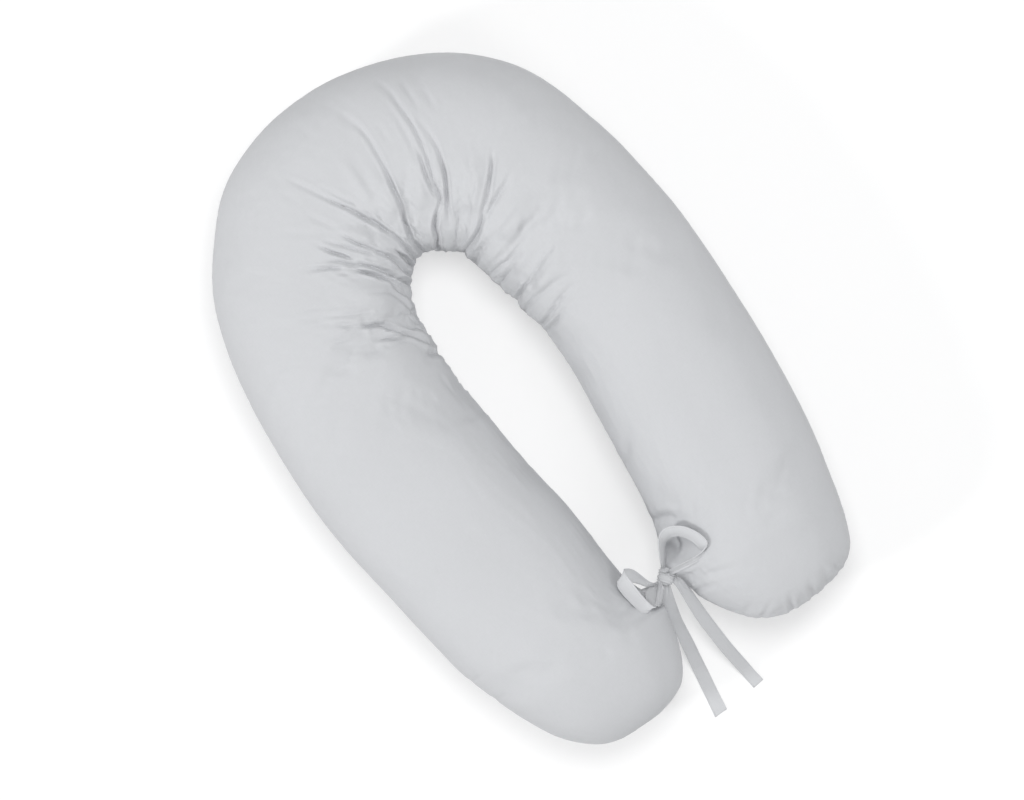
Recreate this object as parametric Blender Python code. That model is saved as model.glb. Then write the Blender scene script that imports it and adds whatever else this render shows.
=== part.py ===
"""U-shaped body pillow, lying on its back with its two lobes tied together by a tape bow.

Two like U-shaped panels meet in one seam at mid height.  Each rib of the body runs across the tube from
the inner seam to the outer seam.  Gathers fan out from the inner bend, and a few short ones sit where
the ties pull.  Each tie is one 20 mm tape: root, loop and free tail, joined at the knot.
+Y points from the open, tied end to the bend, +Z is up, and the pillow rests on z = 0.
"""

import math

import bmesh
import bpy
import numpy as np

MM = 0.001

# ---------------------------------------------------------------- driving sizes
SEAM_HEIGHT = 92 * MM
SEAM_DROP_AT_TIPS = 14 * MM
TOP_SQUARENESS = 2.35
BOTTOM_DEPTH_SHARE = 1.07
SEAM_HOLD = 0.5
LENGTHWISE_SHIFT = 3.1 * MM
STATIONS_LEG = 44
STATIONS_BEND = 92
POINTS_TOP = 21
POINTS_BOTTOM = 11
TAPE_THICKNESS = 1.6 * MM
CLEARANCE = 0.6 * MM
ROOT_FEELERS = 9

# Ribs from the left lobe's tip, round the bend, to the right lobe's tip, in millimetres: the inner and
# the outer seam point, and the height of the crown above the floor.
INNER, OUTER, CROWN = slice(0, 2), slice(2, 4), 4
RIBS = (
    (-121, -473, -121, -473, 80),
    (-84, -470, -159, -471, 112),
    (-58, -464, -182, -462, 131),
    (-38, -453, -204, -444, 149),
    (-24, -434, -224, -421, 164),
    (-12, -407, -242, -390, 177),
    (-5, -382, -259, -354, 186),
    (-4, -350, -270, -323, 190),
    (-12, -324, -279, -296, 192),
    (-22, -290, -288, -266, 193),
    (-27, -250, -294, -235, 194),
    (-30, -200, -302, -186, 194),
    (-34, -150, -309, -138, 194),
    (-43, -100, -317, -88, 194),
    (-48, -60, -323, -50, 195),
    (-54, 0, -329, 10, 195),
    (-59, 50, -330, 62, 195),
    (-61, 100, -328, 130, 196),
    (-59, 143, -322, 205, 197),
    (-57, 177, -306, 290, 198),
    (-50, 203, -281, 358, 199),
    (-39, 222, -240, 418, 200),
    (-27, 235, -184, 476, 200),
    (-13, 244, -100, 513, 200),
    (0, 246, -8, 522, 200),
    (12, 241, 70, 511, 200),
    (26, 231, 138, 486, 199),
    (40, 219, 198, 450, 199),
    (48, 199, 247, 399, 198),
    (54, 174, 280, 337, 197),
    (61, 147, 302, 263, 196),
    (69, 106, 319, 177, 196),
    (78, 62, 328, 104, 195),
    (79, 10, 330, 38, 195),
    (76, -50, 330, -25, 195),
    (71, -100, 328, -84, 194),
    (66, -150, 325, -140, 194),
    (61, -200, 320, -194, 194),
    (53, -250, 313, -246, 192),
    (44, -287, 305, -290, 190),
    (40, -319, 298, -322, 189),
    (44, -342, 291, -355, 186),
    (49, -365, 284, -380, 179),
    (59, -386, 275, -406, 171),
    (73, -408, 264, -427, 160),
    (90, -430, 246, -443, 146),
    (113, -447, 224, -451, 127),
    (135, -455, 199, -456, 108),
    (167, -458, 167, -458, 79),
)

# Gathers and creases of the upper panel, in millimetres: start, middle and end of the trough seen from
# above, its depth, its half width, its lean (which side is steep) and the share of depth left at its end.
FOLD_COLUMNS = ("start_x", "start_y", "mid_x", "mid_y", "end_x", "end_y", "depth", "width", "lean", "left")
FOLDS = (
    (-116, 332, -94, 304, -71, 280, 4, 7, 0.0, 0.2),
    (-81, 327, -58, 291, -34, 238, 7, 7, 0.3, 1.0),
    (-134, 306, -106, 290, -77, 270, 5, 7, 0.0, 0.3),
    (-115, 308, -75, 275, -47, 232, 10, 9, -0.4, 1.0),
    (-90, 276, -62, 241, -52, 212, 7, 11, -0.3, 1.0),
    (-97, 241, -82, 232, -62, 205, 6, 9, 0.0, 0.6),
    (-183, 252, -145, 236, -111, 220, 3, 9, 0.0, 0.0),
    (-167, 238, -112, 200, -64, 141, 9, 10, -0.3, 1.0),
    (-97, 427, -62, 362, -42, 328, 7, 8, 0.4, 0.8),
    (-44, 334, -28, 300, -18, 251, 8, 8, 0.4, 1.0),
    (-30, 272, -28, 256, -24, 242, 6, 6, 0.0, 1.0),
    (20, 440, 19, 385, 12, 336, 4, 8, -0.3, 0.8),
    (12, 345, 5, 303, -4, 255, 7, 8, -0.4, 1.0),
    (71, 364, 62, 334, 57, 305, 6, 8, 0.3, 0.5),
    (85, 442, 83, 385, 69, 337, 5, 9, 0.3, 0.8),
    (67, 320, 59, 297, 48, 280, 7, 8, 0.3, 0.6),
    (91, 356, 78, 310, 54, 268, 6, 8, 0.3, 0.6),
    (50, 290, 29, 264, 20, 244, 7, 7, 0.0, 1.0),
    (146, 299, 100, 248, 46, 217, 7, 9, -0.2, 1.0),
    (148, 253, 120, 243, 62, 222, 3, 11, 0.0, 0.6),
    (62, 215, 58, 205, 52, 190, 5, 9, 0.0, 1.0),
    (162, 154, 110, 137, 68, 119, 7, 9, 0.2, 1.0),
    (110, 70, 96, 66, 79, 60, 8, 8, 0.0, 1.0),
    (140, 90, 112, 84, 78, 74, 5, 8, 0.2, 0.8),
    (94, 161, 78, 155, 62, 150, 7, 8, 0.0, 1.0),
    (105, 168, 84, 169, 60, 170, 3, 9, 0.0, 0.8),
    (-121, 185, -103, 175, -64, 152, 6, 11, -0.3, 0.8),
    (-84, 129, -72, 123, -62, 117, 6, 8, 0.0, 1.0),
    (-92, 26, -76, 21, -57, 14, 5, 9, 0.0, 1.0),
    (-68, -70, -58, -76, -46, -82, 4, 9, 0.0, 1.0),
    (98, -118, 82, -138, 64, -160, 4, 11, 0.0, 1.0),
    (92, -262, 74, -248, 50, -240, 8, 13, 0.3, 1.0),
    (104, -333, 70, -335, 42, -329, 6, 10, 0.0, 1.0),
    (-80, -340, -40, -340, -6, -342, 5, 11, 0.0, 1.0),
)

# Short puckers along the seam at the end of the right lobe, in the same columns.
PUCKERS = (
    (110, -421, 97, -424, 85, -429, 4, 8, 0.0, 1.0),
    (132, -433, 120, -439, 110, -448, 4, 8, 0.0, 1.0),
    (162, -438, 153, -448, 147, -461, 5, 8, 0.0, 1.0),
    (188, -436, 183, -447, 180, -460, 5, 8, 0.0, 1.0),
    (216, -430, 212, -442, 208, -457, 5, 9, 0.0, 1.0),
    (236, -424, 238, -436, 241, -450, 5, 9, 0.0, 1.0),
)

# Where the bow presses or pulls the lobes, in millimetres: middle, radius, and rise (below 0 a dent).
SWELL_COLUMNS = ("x", "y", "radius", "rise", "at_seam")
SWELLS = (
    (70, -294, 46, -13, 0),
    (-36, -312, 34, -8, 0),
    (44, -313, 30, 12, 1),
    (-6, -341, 30, 12, 1),
)

# ---------------------------------------------------------------- the bow, in millimetres
# Every stretch of tape is given by its two edges: a row is a point of one edge, then of the other.
EDGE_A, EDGE_B = slice(0, 3), slice(3, 6)
KNOT_MIDDLE = (26, -314, 110)
KNOT_AXIS = (0.932, 0.362, 0)
KNOT_SIDES = 18
# Each profile row is a place along the knot's axis and the radius there.
WRAP_PROFILE = (
    (7.6, 0.0), (7.6, 6.2), (-9.8, 6.2), (-10.6, 7.4), (-8.6, 8.8), (0.0, 8.4), (8.0, 8.8), (11.6, 6.8), (13.2, 0.0),
)
CORE_PROFILE = ((7.1, 0.0), (7.1, 5.7), (-10.0, 5.7), (-13.2, 4.2), (-14.0, 0.0))

LEFT_LOOP = (
    (19.2, -313.6, 111, 21.0, -320.2, 110),
    (10.5, -316.2, 114, 11.5, -322.0, 110),
    (4.5, -313.5, 116, -2.5, -315.5, 121),
    (0, -304, 118, -11, -305, 132),
    (-3.5, -292, 124, -17, -298, 139),
    (-8, -282, 133, -24, -292, 146),
    (-13, -277, 141, -30, -287, 148),
    (-16.5, -275.5, 146, -34, -284.5, 151),
    (-18.5, -281, 150, -37.5, -289, 153),
    (-18, -296, 152, -38.5, -300, 153),
    (-17, -312, 151, -37, -313, 152),
    (-15.5, -327, 151, -34, -329, 153),
    (-13.5, -337, 154, -29, -341, 152.5),
    (-11.5, -343, 158, -22.5, -345, 148),
    (-8.5, -344, 153, -17, -338.5, 138),
    (-3, -339, 143, -13, -327.5, 130),
    (4, -331.5, 130, -6, -319.5, 122),
    (9.5, -324.5, 115, 7.5, -318.0, 115),
    (15.5, -321.4, 109, 16.0, -315.4, 109),
    (20.8, -319.4, 109, 20.0, -313.4, 109),
)
LEFT_TAIL = (
    (18.8, -313.9, 108, 21.0, -319.6, 108),
    (11.5, -316.6, 108, 14.5, -321.8, 106.5),
    (7.5, -323, 106, 14.5, -327, 103),
    (5.5, -331, 102, 16.5, -333, 99),
    (2.5, -342, 94, 17, -344, 91),
    (-0.5, -356, 82, 15, -358, 79),
    (-3.5, -375, 64, 11.5, -377, 61),
    (-8.5, -400, 40, 8, -402, 38),
    (-13, -425, 18, 5.5, -427, 17),
    (-16.5, -445, 5, 2.5, -447, 4.8),
    (-19.3, -463, 0.8, 0.5, -465, 0.8),
    (-23.8, -493, 0.8, -3.6, -494, 0.8),
    (-28.5, -528.5, 0.8, -8, -527.5, 0.8),
)
LEFT_ROOT = (
    (19.0, -314.4, 107.5, 21.0, -319.4, 107.5),
    (11.5, -317.4, 107.5, 12.5, -322.6, 107),
    (4, -324, 106, 5, -336, 105),
    (-1, -331, 105, -1, -347, 104),
)
RIGHT_LOOP = (
    (34.9, -309.0, 112, 38.0, -310.3, 108),
    (29.5, -302, 119, 36, -301.5, 114),
    (32, -291, 126, 40, -292, 120),
    (38, -279, 133, 46, -286, 124),
    (44, -270, 138, 52, -283, 128),
    (51, -264, 141, 57, -281.5, 133),
    (62, -261.5, 147, 62, -280.5, 140.5),
    (76, -265, 158, 70, -281.5, 148),
    (88, -275, 168, 78, -285, 156),
    (96, -288, 174, 83, -290, 159),
    (101, -300, 176, 86.5, -296, 162),
    (101, -309, 175, 87, -302, 162.5),
    (94, -315.5, 173, 82, -305, 162),
    (80, -318, 169, 73, -305, 157),
    (62, -318.5, 160, 60, -306, 148),
    (46, -317.5, 143, 47, -308, 134),
    (38, -314.5, 119, 39, -309.5, 114),
    (36.5, -313.3, 110, 37.0, -308.8, 110),
)
RIGHT_TAIL = (
    (25.5, -314.2, 102.6, 35.7, -310.2, 102.6),
    (28.5, -323, 101.5, 38, -321, 101.5),
    (30, -332, 97, 38.8, -331, 97),
    (30.5, -345, 88, 41.2, -345, 87),
    (31, -360, 77, 44.2, -360, 76),
    (31.5, -385, 55, 46.5, -385, 54),
    (32, -410, 31, 48.5, -410, 31),
    (33, -435, 10, 50.5, -435, 10),
    (34, -453, 0.8, 52, -452, 0.8),
    (35.5, -480, 0.8, 55, -479, 0.8),
    (39.8, -523.5, 0.8, 59.5, -519.5, 0.8),
)
RIGHT_ROOT = (
    (33.6, -308.4, 108.5, 35.4, -313.2, 108.5),
    (37.0, -305.5, 107, 37.6, -315.0, 107),
    (38.6, -304.5, 105.8, 38.9, -317.5, 105.8),
)


# ---------------------------------------------------------------- helpers
def clear_scene():
    for item in list(bpy.data.objects):
        bpy.data.objects.remove(item, do_unlink=True)


def cloth_material(name, colour, roughness):
    material = bpy.data.materials.new(name)
    material.use_nodes = True
    shader = material.node_tree.nodes["Principled BSDF"]
    shader.inputs["Base Color"].default_value = (*colour, 1)
    shader.inputs["Roughness"].default_value = roughness
    shader.inputs["Metallic"].default_value = 0
    return material


def add_object(name, points, faces, material=None):
    mesh = bpy.data.meshes.new(name)
    mesh.from_pydata([tuple(point) for point in points], [], faces)
    mesh.update()
    piece = bpy.data.objects.new(name, mesh)
    bpy.context.scene.collection.objects.link(piece)
    piece.location.y = LENGTHWISE_SHIFT
    if material:
        mesh.materials.append(material)
        mesh.shade_smooth()
    return piece


def smooth(knots, rows, at):
    """Reads a smooth curve through the rows, each at its knot, at the places in at."""
    slopes = np.gradient(rows, knots, axis=0)
    first = np.clip(np.searchsorted(knots, at, side="right") - 1, 0, len(knots) - 2)
    span = (knots[first + 1] - knots[first])[:, None]
    part = (at - knots[first])[:, None] / span
    rest = 1 - part
    return (
        rows[first] * (1 + 2 * part) * rest**2
        + rows[first + 1] * (1 + 2 * rest) * part**2
        + slopes[first] * span * part * rest**2
        - slopes[first + 1] * span * rest * part**2
    )


def ease(value):
    value = np.clip(value, 0, 1)
    return value * value * (3 - 2 * value)


# ---------------------------------------------------------------- the filled body
def rib_rows():
    """The ribs in metres with their knots, and one mirrored rib past each tip to keep the tips round."""
    rows = np.array(RIBS, float) * MM
    before, after = (np.r_[row[OUTER], row[INNER], row[CROWN]] for row in (rows[1], rows[-2]))
    rows = np.vstack((before, rows, after))
    steps = np.diff(rows, axis=0)
    along = (np.linalg.norm(steps[:, INNER], axis=1) + np.linalg.norm(steps[:, OUTER], axis=1)) / 2
    knots = np.concatenate(((0,), np.cumsum(along)))
    return knots - knots[1], rows


def stations(knots):
    """Places of the ribs: close together round the bend, where the gathers are, wider on the legs."""
    total = knots[-2]
    bend_start = 0.29 * total
    bend_end = 0.73 * total
    return np.concatenate((
        np.linspace(0, bend_start, STATIONS_LEG, endpoint=False),
        np.linspace(bend_start, bend_end, STATIONS_BEND, endpoint=False),
        np.linspace(bend_end, total, STATIONS_LEG + 1),
    ))


def rib_section():
    """Shares across and up of one rib's points, from the outer seam over the top and back underneath."""
    over = np.arange(POINTS_TOP) / POINTS_TOP
    under = 1 + np.arange(POINTS_BOTTOM) / POINTS_BOTTOM
    angle = np.concatenate((over, under)) * math.pi
    power = 2 / TOP_SQUARENESS
    across = np.sign(np.cos(angle)) * np.abs(np.cos(angle)) ** power
    up = np.sign(np.sin(angle)) * np.abs(np.sin(angle)) ** power
    return across, up


def plain_body(ribs, across, up):
    """The body without its folds: a grid of points, a row for each rib."""
    inner, outer, crown = ribs[:, None, INNER], ribs[:, None, OUTER], ribs[:, None, CROWN]
    lowest, highest = crown.min(), crown.max()
    fullness = (crown - lowest) / (highest - lowest)
    seam = SEAM_HEIGHT - SEAM_DROP_AT_TIPS * (1 - fullness)
    rise = crown - seam
    drop = SEAM_HEIGHT * BOTTOM_DEPTH_SHARE * rise / rise.max()
    plan = (inner + outer) / 2 + across[None, :, None] * (outer - inner) / 2
    height = seam + np.where(up > 0, up * rise, up * drop)
    return np.dstack((plan, height))


def outward(grid):
    """Unit normals of the grid, pointing out of the body."""
    along = np.gradient(grid, axis=0)
    around = np.roll(grid, -1, axis=1) - np.roll(grid, 1, axis=1)
    normal = np.cross(around, along)
    return normal / np.maximum(np.linalg.norm(normal, axis=2, keepdims=True), 1e-9)


def fold_depth(x, y, folds):
    """How far the folds move the surface at each point seen from above: troughs below 0, ridges above."""
    move = np.zeros_like(x)
    share = np.linspace(0, 1, 17)[:, None]
    for row in folds:
        fold = dict(zip(FOLD_COLUMNS, row))
        start, middle, end = np.array(row[0:6], float).reshape(3, 2) * MM
        path = start * (1 - share) * (1 - 2 * share) + middle * 4 * share * (1 - share) + end * share * (2 * share - 1)
        if fold["left"] == 1:
            path = np.vstack((path, path[-1] + (path[-1] - path[-3]) * 2))
        nearest = np.full_like(x, 1.0)
        side = np.zeros_like(x)
        place = np.zeros_like(x)
        for index, (head, tail) in enumerate(zip(path[:-1], path[1:])):
            run = tail - head
            size = run @ run
            part = np.clip(((x - head[0]) * run[0] + (y - head[1]) * run[1]) / size, 0, 1)
            off_x = x - head[0] - part * run[0]
            off_y = y - head[1] - part * run[1]
            apart = np.hypot(off_x, off_y)
            closer = apart < nearest
            nearest = np.where(closer, apart, nearest)
            side = np.where(closer, np.sign(run[0] * off_y - run[1] * off_x), side)
            place = np.where(closer, np.minimum((index + part) / 16, 1), place)
        half_width = fold["width"] * MM * (1.25 - 0.4 * place)
        reach = nearest / half_width * (1 + fold["lean"] * side)
        strength = ease(place / 0.55) * (1 - (1 - fold["left"]) * ease((place - 0.6) / 0.4))
        valley = np.exp(-(reach**1.5))
        ridges = 0.35 * np.exp(-((reach - 1.9) ** 2) / 0.5)
        move += fold["depth"] * MM * strength * (ridges - valley)
    return move


def folded_body(grid, up):
    """Adds the folds of the upper panel, the like ones of the lower panel, and the pull of the ties."""
    normal = outward(grid)
    x, y = grid[..., 0], grid[..., 1]
    on_top = ease((up + 0.25) / 0.5)[None, :]
    held = (1 - SEAM_HOLD * (1 - np.abs(up)) ** 2)[None, :]
    top_move = fold_depth(x, y, FOLDS + PUCKERS)
    mirror = 4 * MM
    bottom_move = fold_depth(2 * mirror - x, y, FOLDS) * ease((y + 0.05) / 0.1)
    grid = grid + normal * (held * (on_top * top_move + (1 - on_top) * bottom_move))[..., None]
    for row in SWELLS:
        swell = dict(zip(SWELL_COLUMNS, row))
        apart = np.hypot(x - swell["x"] * MM, y - swell["y"] * MM) / (swell["radius"] * MM)
        share = ease(1 - np.abs(up) / 0.7) if swell["at_seam"] else ease(up / 0.35)
        grid[..., 2] += swell["rise"] * MM * np.exp(-(apart**2)) * share[None, :]
    grid[..., 2] = np.maximum(grid[..., 2], 0)
    return grid


def make_pillow(material):
    knots, rows = rib_rows()
    ribs = smooth(knots, rows, stations(knots))
    across, up = rib_section()
    grid = folded_body(plain_body(ribs[1:-1], across, up), up)
    tips = [np.r_[row[INNER], row[CROWN]] * MM for row in np.array(RIBS)[[0, -1]]]
    count, ring = grid.shape[0], grid.shape[1]
    points = np.vstack((grid.reshape(-1, 3), tips))
    faces = []
    for row in range(count - 1):
        for column in range(ring):
            after = (column + 1) % ring
            near, far = row * ring, (row + 1) * ring
            faces.append((near + column, near + after, far + after, far + column))
    first_tip, last_tip = count * ring, count * ring + 1
    last = (count - 1) * ring
    for column in range(ring):
        after = (column + 1) % ring
        faces.append((first_tip, after, column))
        faces.append((last_tip, last + column, last + after))
    return add_object("pillow", points, faces, material)


# ---------------------------------------------------------------- the ties
def tape_mesh(name, rows, steps):
    """A closed strip of tape between its two edges."""
    edges = np.array(rows, float) * MM
    middle = (edges[:, EDGE_A] + edges[:, EDGE_B]) / 2
    knots = np.concatenate(((0,), np.cumsum(np.linalg.norm(np.diff(middle, axis=0), axis=1))))
    edges = smooth(knots, edges, np.linspace(0, knots[-1], steps + 1))
    near, far = edges[:, EDGE_A], edges[:, EDGE_B]
    for edge in (near, far):
        edge[:, 2] = np.maximum(edge[:, 2], TAPE_THICKNESS / 2)
    along = np.gradient((near + far) / 2, axis=0)
    normal = np.cross(along, far - near)
    normal *= TAPE_THICKNESS / 2 / np.linalg.norm(normal, axis=1, keepdims=True)
    rings = np.stack((near + normal, far + normal, far - normal, near - normal), axis=1)
    rings[..., 2] = np.maximum(rings[..., 2], 0)
    faces = [(3, 2, 1, 0)]
    for step in range(steps):
        start = 4 * step
        for corner in range(4):
            after = (corner + 1) % 4
            faces.append((start + corner, start + after, start + 4 + after, start + 4 + corner))
    last = 4 * steps
    faces.append((last, last + 1, last + 2, last + 3))
    return add_object(name, rings.reshape(-1, 3), faces)


def turned(name, profile, material=None):
    """A body turned about the knot's axis from its profile of (along, radius)."""
    axis = np.array(KNOT_AXIS) / np.linalg.norm(KNOT_AXIS)
    level = np.cross((0, 0, 1), axis)
    points, rings = [], []
    for along, radius in profile:
        sides = KNOT_SIDES if radius else 1
        rings.append(range(len(points), len(points) + sides))
        for side in range(sides):
            turn = 2 * math.pi * side / KNOT_SIDES
            offset = radius * (math.cos(turn) * level + math.sin(turn) * np.array((0, 0, 1)))
            points.append((np.array(KNOT_MIDDLE) + along * axis + offset) * MM)
    faces = []
    for near, far in zip(rings[:-1], rings[1:]):
        for side in range(KNOT_SIDES):
            after = (side + 1) % KNOT_SIDES
            corners = (near[side % len(near)], near[after % len(near)], far[after % len(far)], far[side % len(far)])
            faces.append(tuple(dict.fromkeys(corners)))
    return add_object(name, points, faces, material)


def join_tape(tie, strips):
    """Fuses strips of tape to the tie's piece of the knot, as they are one length of cloth."""
    for strip in strips:
        strip.hide_render = True
        strip.display_type = "WIRE"
        union = tie.modifiers.new(strip.name, "BOOLEAN")
        union.operation = "UNION"
        union.object = strip
        union.use_self = True


def seat_root(rows, direction, pillow):
    """Lengthens the root until the whole of its end lies a clearance short of the seam."""
    last = np.array(rows[-1], float) * MM
    direction = np.array(direction)
    reaches = []
    for share in np.linspace(0, 1, ROOT_FEELERS):
        point = last[EDGE_A] * (1 - share) + last[EDGE_B] * share
        hit = pillow.ray_cast(tuple(point), tuple(direction))[1]
        reaches.append((np.array(hit) - point) @ direction)
    grow = (min(reaches) - CLEARANCE) * direction
    end = np.concatenate((last[EDGE_A] + grow, last[EDGE_B] + grow)) / MM
    return (*rows, tuple(end))


def face_out(piece):
    bpy.context.view_layer.objects.active = piece
    mesh = bmesh.new()
    mesh.from_mesh(piece.data)
    bmesh.ops.recalc_face_normals(mesh, faces=mesh.faces)
    mesh.to_mesh(piece.data)
    mesh.free()


def make_ties(material, pillow):
    left_root = seat_root(LEFT_ROOT, (-1, 0, 0), pillow)
    right_root = seat_root(RIGHT_ROOT, (1, 0, 0), pillow)
    left = turned("tie_left", CORE_PROFILE, material)
    right = turned("tie_right", WRAP_PROFILE, material)
    left_strips = (
        tape_mesh("left_loop", LEFT_LOOP, 46),
        tape_mesh("left_tail", LEFT_TAIL, 26),
        tape_mesh("left_root", left_root, 8),
    )
    right_strips = (
        tape_mesh("right_loop", RIGHT_LOOP, 46),
        tape_mesh("right_tail", RIGHT_TAIL, 24),
        tape_mesh("right_root", right_root, 6),
    )
    for piece in (left, right, *left_strips, *right_strips):
        face_out(piece)
    join_tape(left, left_strips)
    join_tape(right, right_strips)


def main():
    clear_scene()
    cotton = cloth_material("grey_cotton", (0.60, 0.61, 0.63), 0.85)
    tape = cloth_material("grey_tape", (0.56, 0.57, 0.59), 0.85)
    pillow = make_pillow(cotton)
    make_ties(tape, pillow)


main()
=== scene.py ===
"""The looks of a U-shaped body pillow, lying on its back with its lobes tied together by a tape bow.

The cotton body is laid out rib by rib round the U. Its gathers and creases are short tables of points, and
its small folds come from a cloth simulation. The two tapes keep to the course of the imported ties, with
pleats at the knot and a stitched line along each edge.
"""

import math

import bmesh
import bpy
import numpy as np
from mathutils import Matrix, Vector


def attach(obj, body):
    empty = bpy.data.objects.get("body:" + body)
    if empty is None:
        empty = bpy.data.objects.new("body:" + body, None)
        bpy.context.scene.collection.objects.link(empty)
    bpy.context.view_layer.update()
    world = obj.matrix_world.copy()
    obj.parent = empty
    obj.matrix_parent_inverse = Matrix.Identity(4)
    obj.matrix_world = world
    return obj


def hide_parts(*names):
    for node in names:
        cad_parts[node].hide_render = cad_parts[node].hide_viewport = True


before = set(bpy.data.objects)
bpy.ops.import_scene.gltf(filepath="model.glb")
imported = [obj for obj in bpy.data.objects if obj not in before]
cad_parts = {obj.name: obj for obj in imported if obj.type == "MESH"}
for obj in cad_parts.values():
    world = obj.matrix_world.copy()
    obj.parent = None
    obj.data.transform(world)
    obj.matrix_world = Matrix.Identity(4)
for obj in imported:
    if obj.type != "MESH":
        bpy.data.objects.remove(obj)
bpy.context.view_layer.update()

MM = 0.001

# ---- driving sizes of the body
SEAM_HEIGHT = 92 * MM
SEAM_DROP_AT_TIPS = 14 * MM
TOP_SQUARENESS = 2.35
BOTTOM_DEPTH_SHARE = 1.07
LENGTHWISE_SHIFT = 3.1 * MM
RIB_COUNT = 640
RING_COUNT = 154

# Ribs from the left lobe's tip, round the bend, to the right lobe's tip, in millimetres: the inner and
# the outer seam point, and the height of the crown above the floor.
INNER, OUTER, CROWN = slice(0, 2), slice(2, 4), 4
RIBS = (
    (-121, -473, -121, -473, 80), (-84, -470, -159, -471, 112), (-58, -464, -182, -462, 131),
    (-38, -453, -204, -444, 149), (-24, -434, -224, -421, 164), (-12, -407, -242, -390, 177),
    (-5, -382, -259, -354, 186), (-4, -350, -270, -323, 190), (-12, -324, -279, -296, 192),
    (-22, -290, -288, -266, 193), (-27, -250, -294, -235, 194), (-30, -200, -302, -186, 194),
    (-34, -150, -309, -138, 194), (-43, -100, -317, -88, 194), (-48, -60, -323, -50, 195),
    (-54, 0, -329, 10, 195), (-59, 50, -330, 62, 195), (-61, 100, -328, 130, 196),
    (-59, 143, -322, 205, 197), (-57, 177, -306, 290, 198), (-50, 203, -281, 358, 199),
    (-39, 222, -240, 418, 200), (-27, 235, -184, 476, 200), (-13, 244, -100, 513, 200),
    (0, 246, -8, 522, 200), (12, 241, 70, 511, 200), (26, 231, 138, 486, 199), (40, 219, 198, 450, 199),
    (48, 199, 247, 399, 198), (54, 174, 280, 337, 197), (61, 147, 302, 263, 196),
    (69, 106, 319, 177, 196), (78, 62, 328, 104, 195), (79, 10, 330, 38, 195), (76, -50, 330, -25, 195),
    (71, -100, 328, -84, 194), (66, -150, 325, -140, 194), (61, -200, 320, -194, 194),
    (53, -250, 313, -246, 192), (44, -287, 305, -290, 190), (40, -319, 298, -322, 189),
    (44, -342, 291, -355, 186), (49, -365, 284, -380, 179), (59, -386, 275, -406, 171),
    (73, -408, 264, -427, 160), (90, -430, 246, -443, 146), (113, -447, 224, -451, 127),
    (135, -455, 199, -456, 108), (167, -458, 167, -458, 79),
)

# Where the ribs lie close together: a share of the way round the U, and the spacing there in millimetres.
RIB_SPACING = (
    (0, 2.4), (0.03, 5), (0.08, 5), (0.12, 4.2), (0.15, 8), (0.24, 10), (0.29, 6), (0.34, 2.8),
    (0.37, 2.1), (0.59, 2.1), (0.63, 2.8), (0.70, 4.4), (0.76, 9), (0.82, 8), (0.86, 4.2), (0.93, 3.4),
    (0.97, 2.4), (1, 2),
)
# The same round one rib: 0 is the outer seam, 0.25 the crown, 0.5 the inner seam and 0.75 the underside.
RING_SPACING = (
    (0, 0.9), (0.012, 2.4), (0.05, 5), (0.20, 5.2), (0.27, 3.2), (0.36, 2), (0.47, 1.8), (0.492, 1.3),
    (0.5, 0.9), (0.508, 1.4), (0.54, 3), (0.62, 4.6), (0.75, 9), (0.92, 6), (0.988, 2.4), (1, 0.9),
)
# The section on which the places round a rib are measured, and how finely.
SECTION_HALF_WIDTH = 130 * MM
SECTION_RISE = 104 * MM
SECTION_DROP = 92 * MM
GRADING_PLACES = 4001
SECTION_PLACES = 8001

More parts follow.
